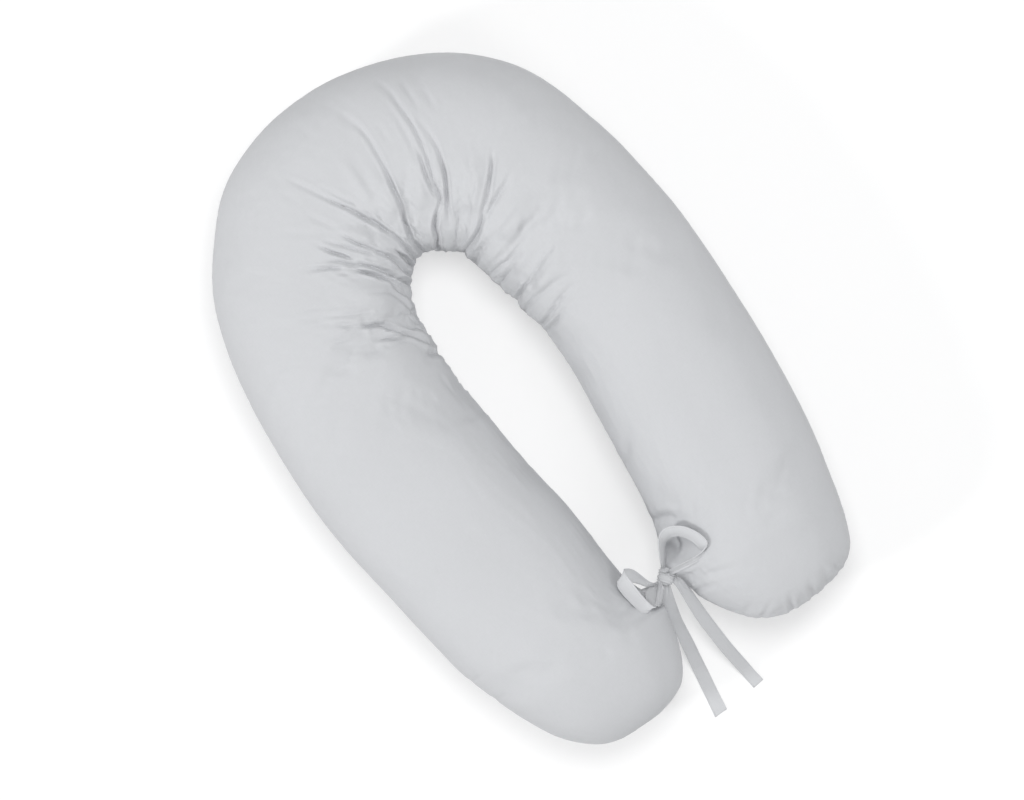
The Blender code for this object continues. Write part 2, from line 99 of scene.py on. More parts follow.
# Gathers and creases of the upper panel, in millimetres, each a row of points from its outer end to the
# seam: the place seen from above, the depth there and the half width.
PLACE, DEPTH, HALF_WIDTH = slice(0, 2), 2, 3
BEND_CREASES = (
    ((12, 464, 0.4, 5), (19, 445, 1.2, 4), (23, 425, 1.5, 3.5), (22, 397, 1.6, 3.5), (19, 369, 2, 3),
     (13, 341, 4, 3), (8, 315, 3, 3), (0, 292, 4.5, 3), (-4, 276, 4, 3), (-5, 262, 3.5, 3),
     (-3, 251, 4, 3)),
    ((77, 478, 0.4, 5), (83, 454, 1, 4), (83, 430, 1.8, 3.5), (84, 406, 2.2, 3), (82, 382, 2, 3),
     (78, 362, 1.8, 3), (71, 339, 2, 2.5), (65, 321, 2.5, 2.5), (62, 305, 4, 2.5), (58, 292, 3, 2.5),
     (48, 283, 2, 2.5), (38, 274, 4.5, 3), (29, 262, 5, 3), (25, 250, 4, 3), (17, 241, 4, 3)),
    ((72, 365, 0.8, 3), (66, 348, 2, 2.5), (61, 331, 3, 2.5), (58, 313, 3, 2.5), (57, 299, 1.5, 2.5)),
    ((94, 402, 0.5, 4), (96, 380, 1.2, 3.5), (95, 356, 2, 3), (89, 333, 3, 2.5), (81, 313, 5, 2.5),
     (69, 293, 4.5, 2.5), (58, 275, 2.5, 3), (49, 259, 1, 5)),
    ((155, 307, 0.5, 3), (143, 291, 3, 2.5), (131, 277, 3.5, 2.5), (116, 261, 2.5, 3), (101, 247, 2, 3),
     (89, 235, 2.5, 3), (75, 224, 5, 3.5), (61, 218, 5, 4), (47, 215, 4, 4)),
    ((159, 266, 0.4, 4), (137, 256, 1.8, 3), (117, 247, 2.2, 3), (103, 240, 1.8, 3), (88, 233, 0.8, 3)),
    ((154, 233, 0.3, 5), (132, 225, 0.8, 4), (111, 218, 0.8, 4), (89, 210, 1, 4), (72, 206, 1.5, 4),
     (60, 201, 2, 4)),
    ((-97, 426, 0.8, 4), (-84, 405, 1.2, 4), (-71, 382, 1.8, 3.5), (-61, 364, 2.2, 3), (-52, 348, 3, 3),
     (-44, 332, 4.5, 3), (-36, 318, 4.5, 3), (-32, 307, 3, 3), (-23, 288, 2, 3), (-19, 270, 2.5, 3),
     (-17, 252, 4, 3)),
    ((-70, 376, 0.6, 3), (-57, 358, 1.5, 2.5), (-43, 341, 1.8, 2.5), (-35, 328, 2.8, 2.5),
     (-31, 313, 2, 2.5), (-26, 297, 0.8, 3)),
    ((-76, 405, 0.3, 4), (-63, 385, 0.8, 4), (-51, 366, 0.8, 4), (-43, 349, 0.3, 4)),
    ((-81, 326, 1, 3), (-75, 314, 3, 2.5), (-69, 303, 3, 2.5), (-60, 291, 2.5, 2.5),
     (-52, 279, 2.5, 2.5), (-44, 266, 3.5, 3), (-39, 252, 4, 3), (-36, 237, 4, 3), (-33, 226, 4.5, 3)),
    ((-115, 332, 0.8, 3), (-107, 317, 3.5, 2.5), (-98, 305, 3.8, 2.5), (-89, 293, 2.5, 2.5),
     (-79, 282, 0.6, 3)),
    ((-103, 331, 0.5, 3), (-94, 320, 1.8, 2.5), (-86, 311, 2.2, 2.5), (-77, 300, 1.8, 2.5),
     (-65, 287, 1.5, 2.5), (-53, 275, 0.6, 3)),
    ((-116, 307, 1, 3), (-105, 298, 3.2, 3), (-95, 289, 4.2, 3), (-80, 278, 3.6, 3), (-70, 268, 2.6, 3),
     (-62, 256, 2.8, 3), (-54, 242, 3.2, 3), (-47, 230, 4, 3), (-39, 219, 4.5, 3)),
    ((-149, 313, 0.6, 4), (-132, 305, 3, 3), (-118, 297, 2.8, 3), (-104, 289, 1.8, 3),
     (-90, 280, 1.2, 3), (-77, 273, 0.4, 3)),
    ((-90, 277, 1, 3), (-83, 266, 4, 3), (-74, 254, 4, 3), (-65, 243, 2.8, 3), (-58, 229, 2.6, 3),
     (-53, 217, 2.6, 3), (-51, 207, 3.4, 3)),
    ((-31, 269, 1.2, 2.5), (-28, 258, 3.6, 2.5), (-24, 241, 4, 2.5)),
    ((-64, 231, 1, 2.5), (-60, 221, 3.5, 2.5), (-55, 209, 3, 2.5), (-54, 198, 3, 2.5)),
    ((-77, 231, 0.5, 3), (-69, 219, 1.2, 3), (-63, 205, 1.6, 3), (-59, 190, 2.2, 3)),
    ((-188, 258, 0.5, 5), (-167, 248, 1, 4), (-147, 237, 1.2, 4), (-126, 227, 1.5, 3.5),
     (-109, 220, 1, 3)),
    ((-177, 245, 0.5, 5), (-161, 233, 1, 4), (-144, 220, 1.4, 4), (-130, 209, 2, 3.5),
     (-118, 202, 4, 3.5), (-103, 194, 4.2, 3.5), (-95, 182, 3.2, 3.5), (-85, 168, 3, 3.5),
     (-76, 153, 3.6, 4), (-65, 137, 5, 4)),
    ((-123, 185, 0.5, 4), (-109, 174, 2, 4), (-92, 166, 2.2, 4), (-76, 157, 1.4, 4), (-61, 145, 1.5, 4)),
    ((-80, 129, 0.5, 5), (-71, 123, 3, 5), (-60, 117, 4.5, 5)),
    ((176, 207, 0.3, 5), (149, 200, 0.8, 4), (114, 190, 1, 4), (84, 183, 1.2, 4), (62, 180, 2, 4)),
    ((106, 166, 1, 4), (90, 171, 2, 3.5), (76, 173, 3, 3.5), (58, 171, 3, 4)),
    ((92, 159, 0.5, 4), (80, 156, 1.6, 4), (63, 151, 3, 4)),
    ((161, 155, 0.3, 4), (139, 147, 1.2, 3.5), (117, 138, 1.8, 3), (95, 129, 2.4, 3), (83, 124, 4, 3.5),
     (69, 120, 4.5, 4)),
    ((153, 105, 0.8, 5), (131, 108, 1.8, 4), (111, 106, 2.2, 4), (93, 105, 2.8, 4), (73, 101, 3.4, 4)),
    ((144, 91, 0.8, 4), (127, 88, 2.4, 3.5), (111, 82, 3.2, 3.5), (96, 76, 3.8, 3.5), (81, 72, 4.2, 4)),
    ((117, 71, 0.6, 3), (102, 66, 3.6, 3), (89, 62, 5, 3.5), (78, 60, 4.5, 4)),
    ((104, 455, 0.3, 5), (104, 435, 1, 4), (104, 416, 0.6, 4)),
    ((124, 434, 0.3, 5), (124, 418, 0.9, 4), (123, 402, 0.5, 4)),
    ((44, 425, 0.2, 4), (44, 412, 0.6, 4), (44, 399, 0.3, 4)),
    ((70, 435, 0.2, 4), (71, 412, 0.8, 4), (69, 388, 0.8, 4), (65, 365, 0.5, 4)),
    ((-143, 371, 0.5, 5), (-124, 358, 0.6, 5), (-104, 346, 0.3, 5)),
    ((-103, 372, 0.4, 5), (-95, 358, 0.8, 4), (-86, 345, 0.3, 4)),
    ((-187, 270, 0.3, 4), (-175, 266, 0.6, 4), (-162, 261, 0.3, 4)),
    ((-181, 219, 0.3, 4), (-155, 212, 0.8, 4), (-129, 201, 0.5, 4)),
    ((-97, 241, 0.3, 3), (-79, 230, 0.9, 3), (-64, 220, 0.3, 3)),
)
# Soft ridges between the creases: three places along the crest, the rise and the radius.
BEND_RIDGES = (
    (133, 322, 108, 281, 80, 247, 5, 17), (174, 242, 137, 216, 94, 201, 4, 15),
    (149, 181, 116, 164, 81, 149, 3, 10), (157, 131, 127, 123, 97, 115, 3, 9),
    (70, 393, 55, 339, 28, 290, 4, 12), (-1, 399, 0, 348, -9, 301, 4, 12),
    (-23, 425, -23, 380, -24, 336, 2.5, 8), (-85, 350, -68, 320, -49, 292, 2.5, 8),
    (-138, 271, -101, 243, -71, 209, 3, 14), (88, 362, 80, 333, 69, 307, 2, 4),
)
LEG_CREASES = (
    ((-92, 26, 0.4, 5), (-76, 21, 1.6, 4.2), (-56, 14, 1.8, 4.2)),
    ((-68, -71, 0.4, 4.3), (-57, -77, 1.4, 3.6), (-45, -82, 1.5, 3.6)),
    ((95, -120, 0.4, 5.8), (82, -138, 1.4, 4.8), (63, -158, 1.5, 4.8)),
    ((86, -262, 0.9, 7.2), (72, -248, 3.2, 6), (52, -240, 3.6, 6)),
    ((92, -331, 0.6, 5), (66, -335, 2.2, 4.2), (41, -331, 2.4, 4.2)),
    ((115, -358, 0.4, 5.8), (82, -348, 1.4, 4.8), (44, -338, 1.5, 4.8)),
    ((74, -364, 0.5, 4.3), (58, -359, 1.9, 3.6), (45, -357, 2.1, 3.6)),
    ((-70, -320, 0.2, 5), (-50, -322, 0.8, 4.2), (-18, -322, 0.9, 4.2)),
    ((-62, -345, 0.4, 5.8), (-35, -343, 1.4, 4.8), (-6, -342, 1.5, 4.8)),
    ((-262, -288, 0.3, 4.3), (-272, -287, 1.1, 3.6), (-283, -286, 1.2, 3.6)),
    ((-252, -330, 0.3, 4.3), (-262, -328, 1.1, 3.6), (-272, -326, 1.2, 3.6)),
)
# Short puckers along the seam at the end of the right lobe, with the same numbers for each point.
LOBE_PUCKERS = (
    ((106, -413, 0.3, 5), (95, -418, 0.9, 4.2), (84, -424, 1, 4.2)),
    ((128, -428, 0.3, 5), (116, -434, 1.1, 4.2), (104, -442, 1.2, 4.2)),
    ((156, -434, 0.4, 5), (150, -445, 1.4, 4.2), (146, -459, 1.6, 4.2)),
    ((188, -432, 0.4, 5), (184, -445, 1.4, 4.2), (181, -459, 1.6, 4.2)),
    ((214, -428, 0.4, 5.9), (210, -440, 1.4, 4.9), (206, -456, 1.6, 4.9)),
    ((230, -426, 0.3, 4.2), (231, -438, 1.3, 3.5), (232, -449, 1.4, 3.5)),
    ((243, -424, 0.3, 4.2), (244, -434, 0.9, 3.5), (246, -443, 1, 3.5)),
)

# Where the cloth swells, in millimetres: middle, radius, rise (below 0 a dent), and 1 for one at the seam.
SWELLS = (
    (70, -294, 46, -13, 0), (62, -294, 19, -44, 0), (56, -250, 15, -7, 0), (-36, -312, 34, -8, 0),
    (44, -313, 30, 9, 1), (-6, -341, 30, 12, 1), (-45, 215, 35, 14, 1), (-62, 150, 38, 14, 1),
    (-66, 90, 40, 9, 1), (30, 236, 28, -9, 1), (58, 195, 34, -13, 1), (76, 130, 36, -13, 1),
    (88, 70, 34, -10, 1),
)
# Where the ties pull the cloth of the lobes sideways, in millimetres: middle, radius and move.
PULLS = (
    (42, -303, 26, -9, 6), (-3, -336, 26, 8, -5),
)

# The lower panel has the creases of the upper one, mirrored about this line, from here along the pillow.
LOWER_PANEL_MIRROR = 4 * MM
LOW_CREASE_START = -50 * MM
LOW_CREASE_BLEND = 100 * MM
BEND_START = 20 * MM
BEND_BLEND = 120 * MM
# Shares of the section's height over which a form of one panel fades out round the seam.
TOP_BLEND = 0.25
TOP_SWELL_BLEND = 0.35
SEAM_SWELL_REACH = 0.7

# The seam between the panels, the puckers beside it, the fine gathers of the inner bend, and the filling.
# A slant is how far a pucker drifts along the seam for each metre away from it.
GROOVE_DEPTH = 1.4 * MM
GROOVE_HALF_WIDTH = 1.2 * MM
PUCKER_DEPTH = 0.7 * MM
PUCKER_REACH = 10 * MM
PUCKER_LENGTHS = (0.013, 0.021, 0.034)
PUCKER_SLANTS = (0.25, 0.6)
BEAD_DEPTH = 0.35 * MM
BEAD_REACH = 3 * MM
BEAD_LENGTHS = (0.0065, 0.009)
GATHER_DEPTH = 0.9 * MM
GATHER_REACH = 32 * MM
GATHER_LENGTHS = (0.009, 0.014, 0.023)
GATHER_SLANT = -0.12
LUMP_HEIGHT = 0.7 * MM
LUMP_LENGTHS = (0.09, 0.14, 0.21)

# A crease across its path, in half widths: a trough with a wide skirt, and a rim on each side.
CREASE_STEPS = 5
CREASE_REACH = 4.5
CREASE_GAIN = 1.9
CREASE_NARROWING = 0.8
TROUGH_SHARE = 0.7
TROUGH_POWER = 1.4
SKIRT_WIDTH = 2.6
RIM_HEIGHT = 0.35
RIM_PLACE = 2.2
RIM_SPREAD = 0.8
PINCH = 0.6
FULL_PINCH_DEPTH = 3 * MM
# A crease that ends this deep, in millimetres, runs on over the seam. The seam holds it down by SEAM_HOLD.
SEAM_DEPTH = 2
SEAM_HOLD = 0.5
RIDGE_GAIN = 1.6
RIDGE_TAPERS = (0.7, 0.25)

# The cloth simulation of the body runs on a coarser copy of its grid, which starts slightly smaller.
CLOTH_RIB_STEP = 4
CLOTH_RING_STEP = 2
CLOTH_FRAMES = 24
CLOTH_INSET = 4 * MM
CLOTH_UNEVENNESS = 0.3 * MM
# A negative shrink is extra cloth. The group "taut" takes it away where its weight is high.
CLOTH_SETTINGS = {
    "quality": 6,
    "mass": 0.15,
    "tension_stiffness": 40,
    "compression_stiffness": 40,
    "shear_stiffness": 12,
    "bending_stiffness": 0.01,
    "use_pressure": True,
    "uniform_pressure_force": 4,
    "vertex_group_mass": "held",
    "pin_stiffness": 1,
    "vertex_group_shrink": "taut",
    "shrink_min": -0.22,
    "shrink_max": 0,
}
CLOTH_SLACK_ELSEWHERE = 0.08
CLOTH_GATHER_REACH = 0.15
# How far round a rib each seam holds the cloth, and calms its folds.
INNER_SEAM_GRIP = 0.012
OUTER_SEAM_GRIP = 0.04
CLOTH_CALM_INNER = 0.04
CLOTH_CALM_OUTER = 0.2
# What is kept of its moves: those that differ from the mean of the ribs nearby, at a gain and up to a cap.
CLOTH_EVEN_RIBS = 5
CLOTH_EVEN_REACH = 12
CLOTH_GAIN = 0.6
CLOTH_CAP = 5 * MM

# ---- the cotton, its greys and the tape
# Heights are of the relief, and scales are of the noise that makes it.
COTTON_PITCH = 0.45 * MM
THREAD_HEIGHT = 0.05 * MM
SLUB_HEIGHT = 0.16 * MM
CRUMPLE_HEIGHT = 0.35 * MM
SLUB_SCALE = 90
CRUMPLE_SCALE = 55
CLOUD_SCALE = 6
STRAND_SCALE = 2600
NOISE_ROUGHNESS = 0.55
# Each cloth has its lighter and its darker grey.
BODY_GREYS = (0.563, 0.570, 0.586), (0.523, 0.530, 0.543)
TAPE_GREYS = (0.592, 0.599, 0.613), (0.560, 0.566, 0.579)
THREAD_GREYS = (0.60, 0.607, 0.62), (0.53, 0.536, 0.55)

TAPE_WIDTH = 20 * MM
TAPE_THICKNESS = 1.3 * MM
TAPE_STEP = 1.5 * MM
TAPE_ACROSS = 25
# Its edge: how thin it gets, over what width, and the bead beside it.
EDGE_THINNEST = 0.45
EDGE_ROUND = 0.8 * MM
EDGE_BEAD = 0.7
EDGE_BEAD_PLACE = 0.6 * MM
EDGE_BEAD_WIDTH = 0.8 * MM
STITCH_INSET = 2.3 * MM
STITCH_HEIGHT = 0.42 * MM
STITCH_PRESS = 0.45
STITCH_PRESS_WIDTH = 0.5 * MM
THREAD_THICKNESS = 0.45 * MM
STITCH_SIZES = {"Spacing": 2.8 * MM, "Stitch length": 2 * MM, "Thread thickness": THREAD_THICKNESS}
THREAD_SIDES = 8
THREAD_RINGS = 6
HEM_LENGTH = 7 * MM
HEM_SWELL = 0.5
HEM_BLEND = 1 * MM
# Pleats form where the tape is squeezed to less than this share of its width.
PLEATS = 2.5
PLEAT_SHARE = 0.85
PLEAT_GAIN = 0.16
PLEAT_CAP = 1.5 * MM
PLEAT_DRIFT = 20 * MM
FLAT_HEIGHT = 1 * MM
FLAT_BLEND = 8 * MM

# ---- the bow, in millimetres
# Every stretch of tape is given by its two edges: a row is a point of one edge, then of the other.
EDGE_A, EDGE_B = slice(0, 3), slice(3, 6)
LEFT_LOOP = (
    (19.2, -313.6, 111, 21, -320.2, 110), (10.5, -316.2, 114, 11.5, -322, 110),
    (4.5, -313.5, 116, -2.5, -315.5, 121), (0, -304, 118, -11, -305, 132),
    (-3.5, -292, 124, -17, -298, 139), (-8, -282, 133, -24, -292, 146), (-13, -277, 141, -30, -287, 148),
    (-16.5, -275.5, 146, -34, -284.5, 151), (-18.5, -281, 150, -37.5, -289, 153),
    (-18, -296, 152, -38.5, -300, 153), (-17, -312, 151, -37, -313, 152),
    (-15.5, -326, 151, -34, -328, 153), (-13.5, -336, 154, -29, -340, 152.5),
    (-11.5, -342, 158, -22.5, -344, 148), (-8.5, -343, 152, -17, -337.5, 136),
    (-4, -338.5, 139, -14, -325.5, 128), (3, -331.5, 126, -7, -318.5, 118),
    (8.5, -324.5, 113, 7, -317.5, 112), (15.5, -321.4, 109, 16, -315.4, 109),
    (20.8, -319.4, 109, 20, -313.4, 109),
)
LEFT_TAIL = (
    (15.6, -320.9, 106, 25.6, -323.6, 106), (14.8, -327.9, 104, 24.5, -330.4, 104),
    (7, -336.7, 98, 21.1, -342.8, 98), (1.7, -345.9, 91, 17.6, -355.3, 91),
    (-1, -357.3, 83, 14.9, -366.7, 83), (-4, -372.7, 71, 11.6, -381.9, 71), (-6, -389, 58, 10, -397, 58),
    (-10.1, -412.7, 38, 7.4, -421.1, 38), (-13.7, -436.8, 18, 4.3, -443.5, 18),
    (-17.4, -460.8, 3, 1.5, -466.7, 3), (-21.8, -490.4, 0.8, -2.6, -494.8, 0.8),
    (-27.4, -526.6, 0.8, -6.7, -526.2, 0.8),
)
LEFT_FOLD = (
    (11.5, -317.5, 113, 16.3, -322.3, 109), (8.4, -322.6, 121, 13.7, -327.9, 115),
    (3.6, -328.2, 131, 10.1, -334.1, 121), (-1.6, -333.8, 141, 4.7, -339.8, 130),
    (-6.6, -338.6, 149, -0.4, -343.9, 140), (-10.8, -341, 153, -5, -345.9, 147),
)
LEFT_ROOT = (
    (20, -318.5, 109, 19.5, -323, 108), (12.5, -318, 110, 12.5, -326, 107.5),
    (2.1, -316.6, 110, 2.1, -330.2, 106), (-8, -314.5, 107.5, -8, -332, 104),
    (-17.5, -312.6, 103.5, -17.6, -333.5, 101.5),
)
RIGHT_LOOP = (
    (26.5, -308.5, 110, 29, -311.1, 107), (29, -301.1, 121, 33, -306.4, 109),
    (31.8, -293.7, 131, 37.1, -299.9, 114), (35.5, -285.4, 139, 41.5, -292.1, 121),
    (39.4, -277.3, 146, 45.7, -284.4, 128), (43.5, -270.5, 151, 50.1, -279, 134),
    (48, -264.8, 156, 54.9, -276.1, 140), (53.3, -261.1, 160, 59.1, -275.1, 146),
    (60.3, -259.4, 165, 63.5, -274.9, 152), (67.8, -260.6, 168, 68, -276.7, 155),
    (75.5, -264.1, 171, 72.6, -279.8, 158), (82.7, -269.3, 173, 76.6, -283.9, 160),
    (89, -276.4, 175, 79.8, -288.7, 161), (94.5, -285.3, 176, 82.4, -294.1, 162),
    (98.6, -294.7, 177, 84.3, -299.3, 163), (100.2, -302.5, 177, 85.5, -304.4, 163),
    (100.1, -307.3, 177, 86.2, -309.4, 162), (98.7, -310.1, 176, 87.7, -314, 161),
    (95.9, -312, 176, 89.6, -317.4, 160), (91.3, -313.3, 175, 88.3, -319.9, 160),
    (83.1, -315.2, 172, 82, -321.9, 159), (72.7, -315.4, 167, 73.1, -322.7, 157),
    (62.2, -314.6, 160, 62.4, -322.3, 148), (51.6, -313.4, 152, 52.1, -321.3, 140),
    (42, -312.5, 142, 42.1, -320.4, 130), (34.3, -312.2, 128, 33.1, -319.4, 117),
    (27.8, -312.6, 113, 26.3, -316.8, 109),
)
RIGHT_TAIL = (
    (26.4, -320.1, 105, 36.1, -320.6, 105), (28, -325.3, 103, 40.4, -326.9, 103),
    (29.8, -336.8, 100, 44.1, -339, 100), (29.8, -350.6, 92, 45.3, -354.3, 92),
    (28.6, -370.5, 82, 45.8, -373.7, 82), (28.2, -394.6, 68, 46.6, -397.5, 68),
    (29.7, -423.6, 50, 48.4, -426, 50), (32.1, -454, 31, 50.8, -456.5, 31),
    (35.5, -480.4, 14, 54.1, -481.7, 14), (38.6, -501.9, 3, 56.7, -502.9, 3),
    (41.2, -522.6, 0.8, 59.2, -520.1, 0.8),
)
RIGHT_ROOT = (
    (33.6, -308.4, 108.5, 35.4, -313.2, 108.5), (38, -305, 106.5, 38.6, -316, 106.5),
    (47, -303, 103, 47, -319, 103),
)
KNOT_MIDDLE = (27.4, -317.6, 109)
KNOT_AXIS = (0.80, 0.60, 0)
KNOT_SIDES = 96
KNOT_ROWS = 64
KNOT_WIDENING = 1.24
KNOT_FLATTENING = 0.88
KNOT_RADIUS = 8.5
KNOT_THINNEST = 0.02
# Waves round the knot that skew its creases and take it out of round: size, count and start.
KNOT_SKEW = ((1.1, 1, 0.7), (0.6, 3, 0))
KNOT_OUT_OF_ROUND = ((0.05, 2, 0.6 + math.pi / 2), (0.03, 3, math.pi / 2))
KNOT_CREASE_LENGTHS = (4.6, 8.1)
KNOT_CREASE_START = 6
KNOT_CREASE_BLEND = 2
# Each profile row is a place along the knot's axis and the radius there.
WRAP_PROFILE = (
    (-7, 5.4), (-9.4, 5.8), (-10.4, 6.6), (-9.8, 7.6), (-7.4, 8.3), (-3.6, 9.2), (0, 8.4), (3.4, 9.4),
    (7.4, 8.7), (10, 7.6), (11.2, 6.4), (10.4, 5.4), (8, 5),
)
CORE_PROFILE = ((9, 0), (9, 5), (4, 5.6), (-8, 5.6), (-12.4, 4.6), (-13.6, 2.6), (-14, 0))
# Each tie: its node, its stretches of tape with the cup of each, and its part of the knot with its creases.
TIES = (
    ("tie_left", (LEFT_LOOP, LEFT_TAIL, LEFT_ROOT, LEFT_FOLD), (1.2, -0.8, 0.6, 0.8), CORE_PROFILE, 0.3),
    ("tie_right", (RIGHT_LOOP, RIGHT_TAIL, RIGHT_ROOT), (-1.6, -0.8, 0.6), WRAP_PROFILE, 2.1),
)

# ---- floor, light and camera
FLOOR_HALF_SIZE = 20
FLOOR_GREY = 0.52
FLOOR_GLOW = 0.44
WORLD_COLOUR = (0.985, 0.992, 1)
WORLD_STRENGTH = 0.48
AIM = (0, 0, 0.1)
# Each softbox: its name, its place, its size in metres and its power in watts.
SOFTBOXES = (
    ("overhead_softbox", (0.503, 0.746, 4.2), 1.8, 86),
    ("side_softbox", (-6.96, 0.73, 3.98), 1.4, 222),
    ("fill_softbox", (1, -3.39, 3.64), 2, 38),
)
VIEW_WIDTH = 1.4336
CAMERA_DISTANCE = 8.0
CAMERA_PLACE = (-0.0145, 0.0100)
CAMERA_TURN = math.radians(34)
SENSOR_WIDTH = 36
FOCUS_HEIGHT = 95 * MM


# ---- small helpers
def smooth(knots, rows, at):
    """Reads a smooth curve through the rows, each at its knot, at the places in at."""
    slopes = np.gradient(rows, knots, axis=0)
    first = np.clip(np.searchsorted(knots, at, side="right") - 1, 0, len(knots) - 2)
    span = (knots[first + 1] - knots[first])[:, None]
    part = (at - knots[first])[:, None] / span
    rest = 1 - part
    return (
        rows[first] * (1 + 2 * part) * rest**2
        + rows[first + 1] * (1 + 2 * rest) * part**2
        + slopes[first] * span * part * rest**2
        - slopes[first + 1] * span * rest * part**2
    )


def ease(value):
    """Runs from 0 to 1 as the value does, slowly at both ends."""
    value = np.clip(value, 0, 1)
    return value * value * (3 - 2 * value)


def running_total(steps):
    return np.concatenate(((0,), np.cumsum(steps)))


def graded(spacing, count, closed):
    """Places from 0 to 1, count of them, close together where the spacing in the table is small."""
    places, gaps = np.array(spacing, float).T
    fine = np.linspace(0, 1, GRADING_PLACES)
    density = 1 / np.interp(fine, places, gaps)
    reached = running_total((density[1:] + density[:-1]) / 2)
    steps = count if closed else count - 1
    return np.interp(np.arange(count) / steps * reached[-1], reached, fine)


def arc_length(points):
    return running_total(np.linalg.norm(np.diff(points, axis=0), axis=1))


def bell(value):
    return np.exp(-(value**2))


def fade_round(x, y, middle, radius):
    """Fades from 1 at a middle, given in millimetres, to 0 well past the radius."""
    apart = np.hypot(x - middle[0] * MM, y - LENGTHWISE_SHIFT - middle[1] * MM)
    return bell(apart / (radius * MM))


def add_object(name, data):
    made = bpy.data.objects.new(name, data)
    bpy.context.scene.collection.objects.link(made)
    return made


def mesh_piece(name, points, faces, material):
    mesh = bpy.data.meshes.new(name)
    mesh.from_pydata(np.asarray(points).tolist(), [], faces)
    mesh.materials.append(material)
    mesh.shade_smooth()
    mesh.update()
    return add_object(name, mesh)


def feed(tree, socket, value):
    """Sets a node's input, or links it where the value is another node's output."""
    value = getattr(value, "socket", value)
    if isinstance(value, bpy.types.NodeSocket):
        tree.links.new(value, socket)
    else:
        socket.default_value = value


def add_node(tree, kind, settings, inputs):
    made = tree.nodes.new(kind)
    for name, value in (settings or {}).items():
        setattr(made, name, value)
    for name, value in (inputs or {}).items():
        feed(tree, made.inputs[name], value)
    return made


def band_faces(count, ring):
    """The four-cornered faces of a band of so many rings, with so many points round each ring."""
    column = np.arange(ring)
    after = (column + 1) % ring
    start = (np.arange(count - 1) * ring)[:, None]
    quads = np.stack((start + column, start + after, start + ring + after, start + ring + column), axis=2)
    return quads.reshape(-1, 4)


def tipped_faces(count, ring):
    """The faces of a band that a tip closes at each end. The two tips are its last points."""
    column = np.arange(ring)
    after = (column + 1) % ring
    end = (count - 1) * ring
    near_cap = np.column_stack((after, column, np.full(ring, count * ring)))
    far_cap = np.column_stack((end + column, end + after, np.full(ring, count * ring + 1)))
    return band_faces(count, ring).tolist() + near_cap.tolist() + far_cap.tolist()


def give_uv(piece, places):
    """Lays a flat place, in metres, on each corner of the piece's faces, for the weave."""
    layer = piece.data.uv_layers.new(name="weave")
    corners = np.empty(len(piece.data.loops), int)
    piece.data.loops.foreach_get("vertex_index", corners)
    layer.data.foreach_set("uv", np.asarray(places, np.float32)[corners].ravel())


# ---- the cotton body
def rib_rows():
    """The ribs in metres with their knots, and one mirrored rib past each tip to keep the tips round."""
    rows = np.array(RIBS, float) * MM
    before, after = (np.r_[row[OUTER], row[INNER], row[CROWN]] for row in (rows[1], rows[-2]))
    rows = np.vstack((before, rows, after))
    rows[:, 1] += LENGTHWISE_SHIFT
    rows[:, 3] += LENGTHWISE_SHIFT
    steps = np.diff(rows, axis=0)
    along = (np.linalg.norm(steps[:, INNER], axis=1) + np.linalg.norm(steps[:, OUTER], axis=1)) / 2
    knots = running_total(along)
    return knots - knots[1], rows


def rib_section(places):
    """Shares across and up at places round one rib, and each place's distance from the nearer seam."""
    angle = np.linspace(0, 2 * math.pi, SECTION_PLACES)
    power = 2 / TOP_SQUARENESS
    across = np.sign(np.cos(angle)) * np.abs(np.cos(angle)) ** power
    up = np.sign(np.sin(angle)) * np.abs(np.sin(angle)) ** power
    tall = np.where(up > 0, SECTION_RISE, SECTION_DROP)
    reached = arc_length(np.column_stack((across * SECTION_HALF_WIDTH, up * tall)))
    corners = (0, 0.25, 0.5, 0.75, 1)
    quarters = np.interp(corners, np.linspace(0, 1, SECTION_PLACES), reached)
    at = np.interp(places, corners, quarters)
    from_seam = np.abs(at[:, None] - quarters[None, [0, 2, 4]]).min(1)
    return np.interp(at, reached, across), np.interp(at, reached, up), from_seam


def plain_body(ribs, across, up):
    """The body without its folds: a grid of points, a row for each rib."""
    inner, outer, crown = ribs[:, None, INNER], ribs[:, None, OUTER], ribs[:, None, CROWN]
    lowest, highest = min(row[CROWN] for row in RIBS) * MM, max(row[CROWN] for row in RIBS) * MM
    fullness = (crown - lowest) / (highest - lowest)
    seam = SEAM_HEIGHT - SEAM_DROP_AT_TIPS * (1 - fullness)
    rise = crown - seam
    drop = SEAM_HEIGHT * BOTTOM_DEPTH_SHARE * rise / (highest - SEAM_HEIGHT)
    plan = (inner + outer) / 2 + across[None, :, None] * (outer - inner) / 2
    height = seam + np.where(up > 0, up * rise, up * drop)
    return np.dstack((plan, height))


def outward(grid):
    """Unit normals of the grid, pointing out of the body."""
    along = np.gradient(grid, axis=0)
    around = np.roll(grid, -1, axis=1) - np.roll(grid, 1, axis=1)
    normal = np.cross(around, along)
    return normal / np.maximum(np.linalg.norm(normal, axis=2, keepdims=True), 1e-9)


def nearest_on(path, points):
    """For each point its nearest place on the path, in steps, its distance, and its offset from there."""
    run = np.diff(path, axis=0)
    offset = points[:, None, :] - path[None, :-1, :]
    part = np.clip((offset * run).sum(2) / (run**2).sum(1), 0, 1)
    offset -= part[..., None] * run
    apart = np.linalg.norm(offset, axis=2)
    step = apart.argmin(1)
    pick = np.arange(len(points))
    return step + part[pick, step], apart[pick, step], offset[pick, step]


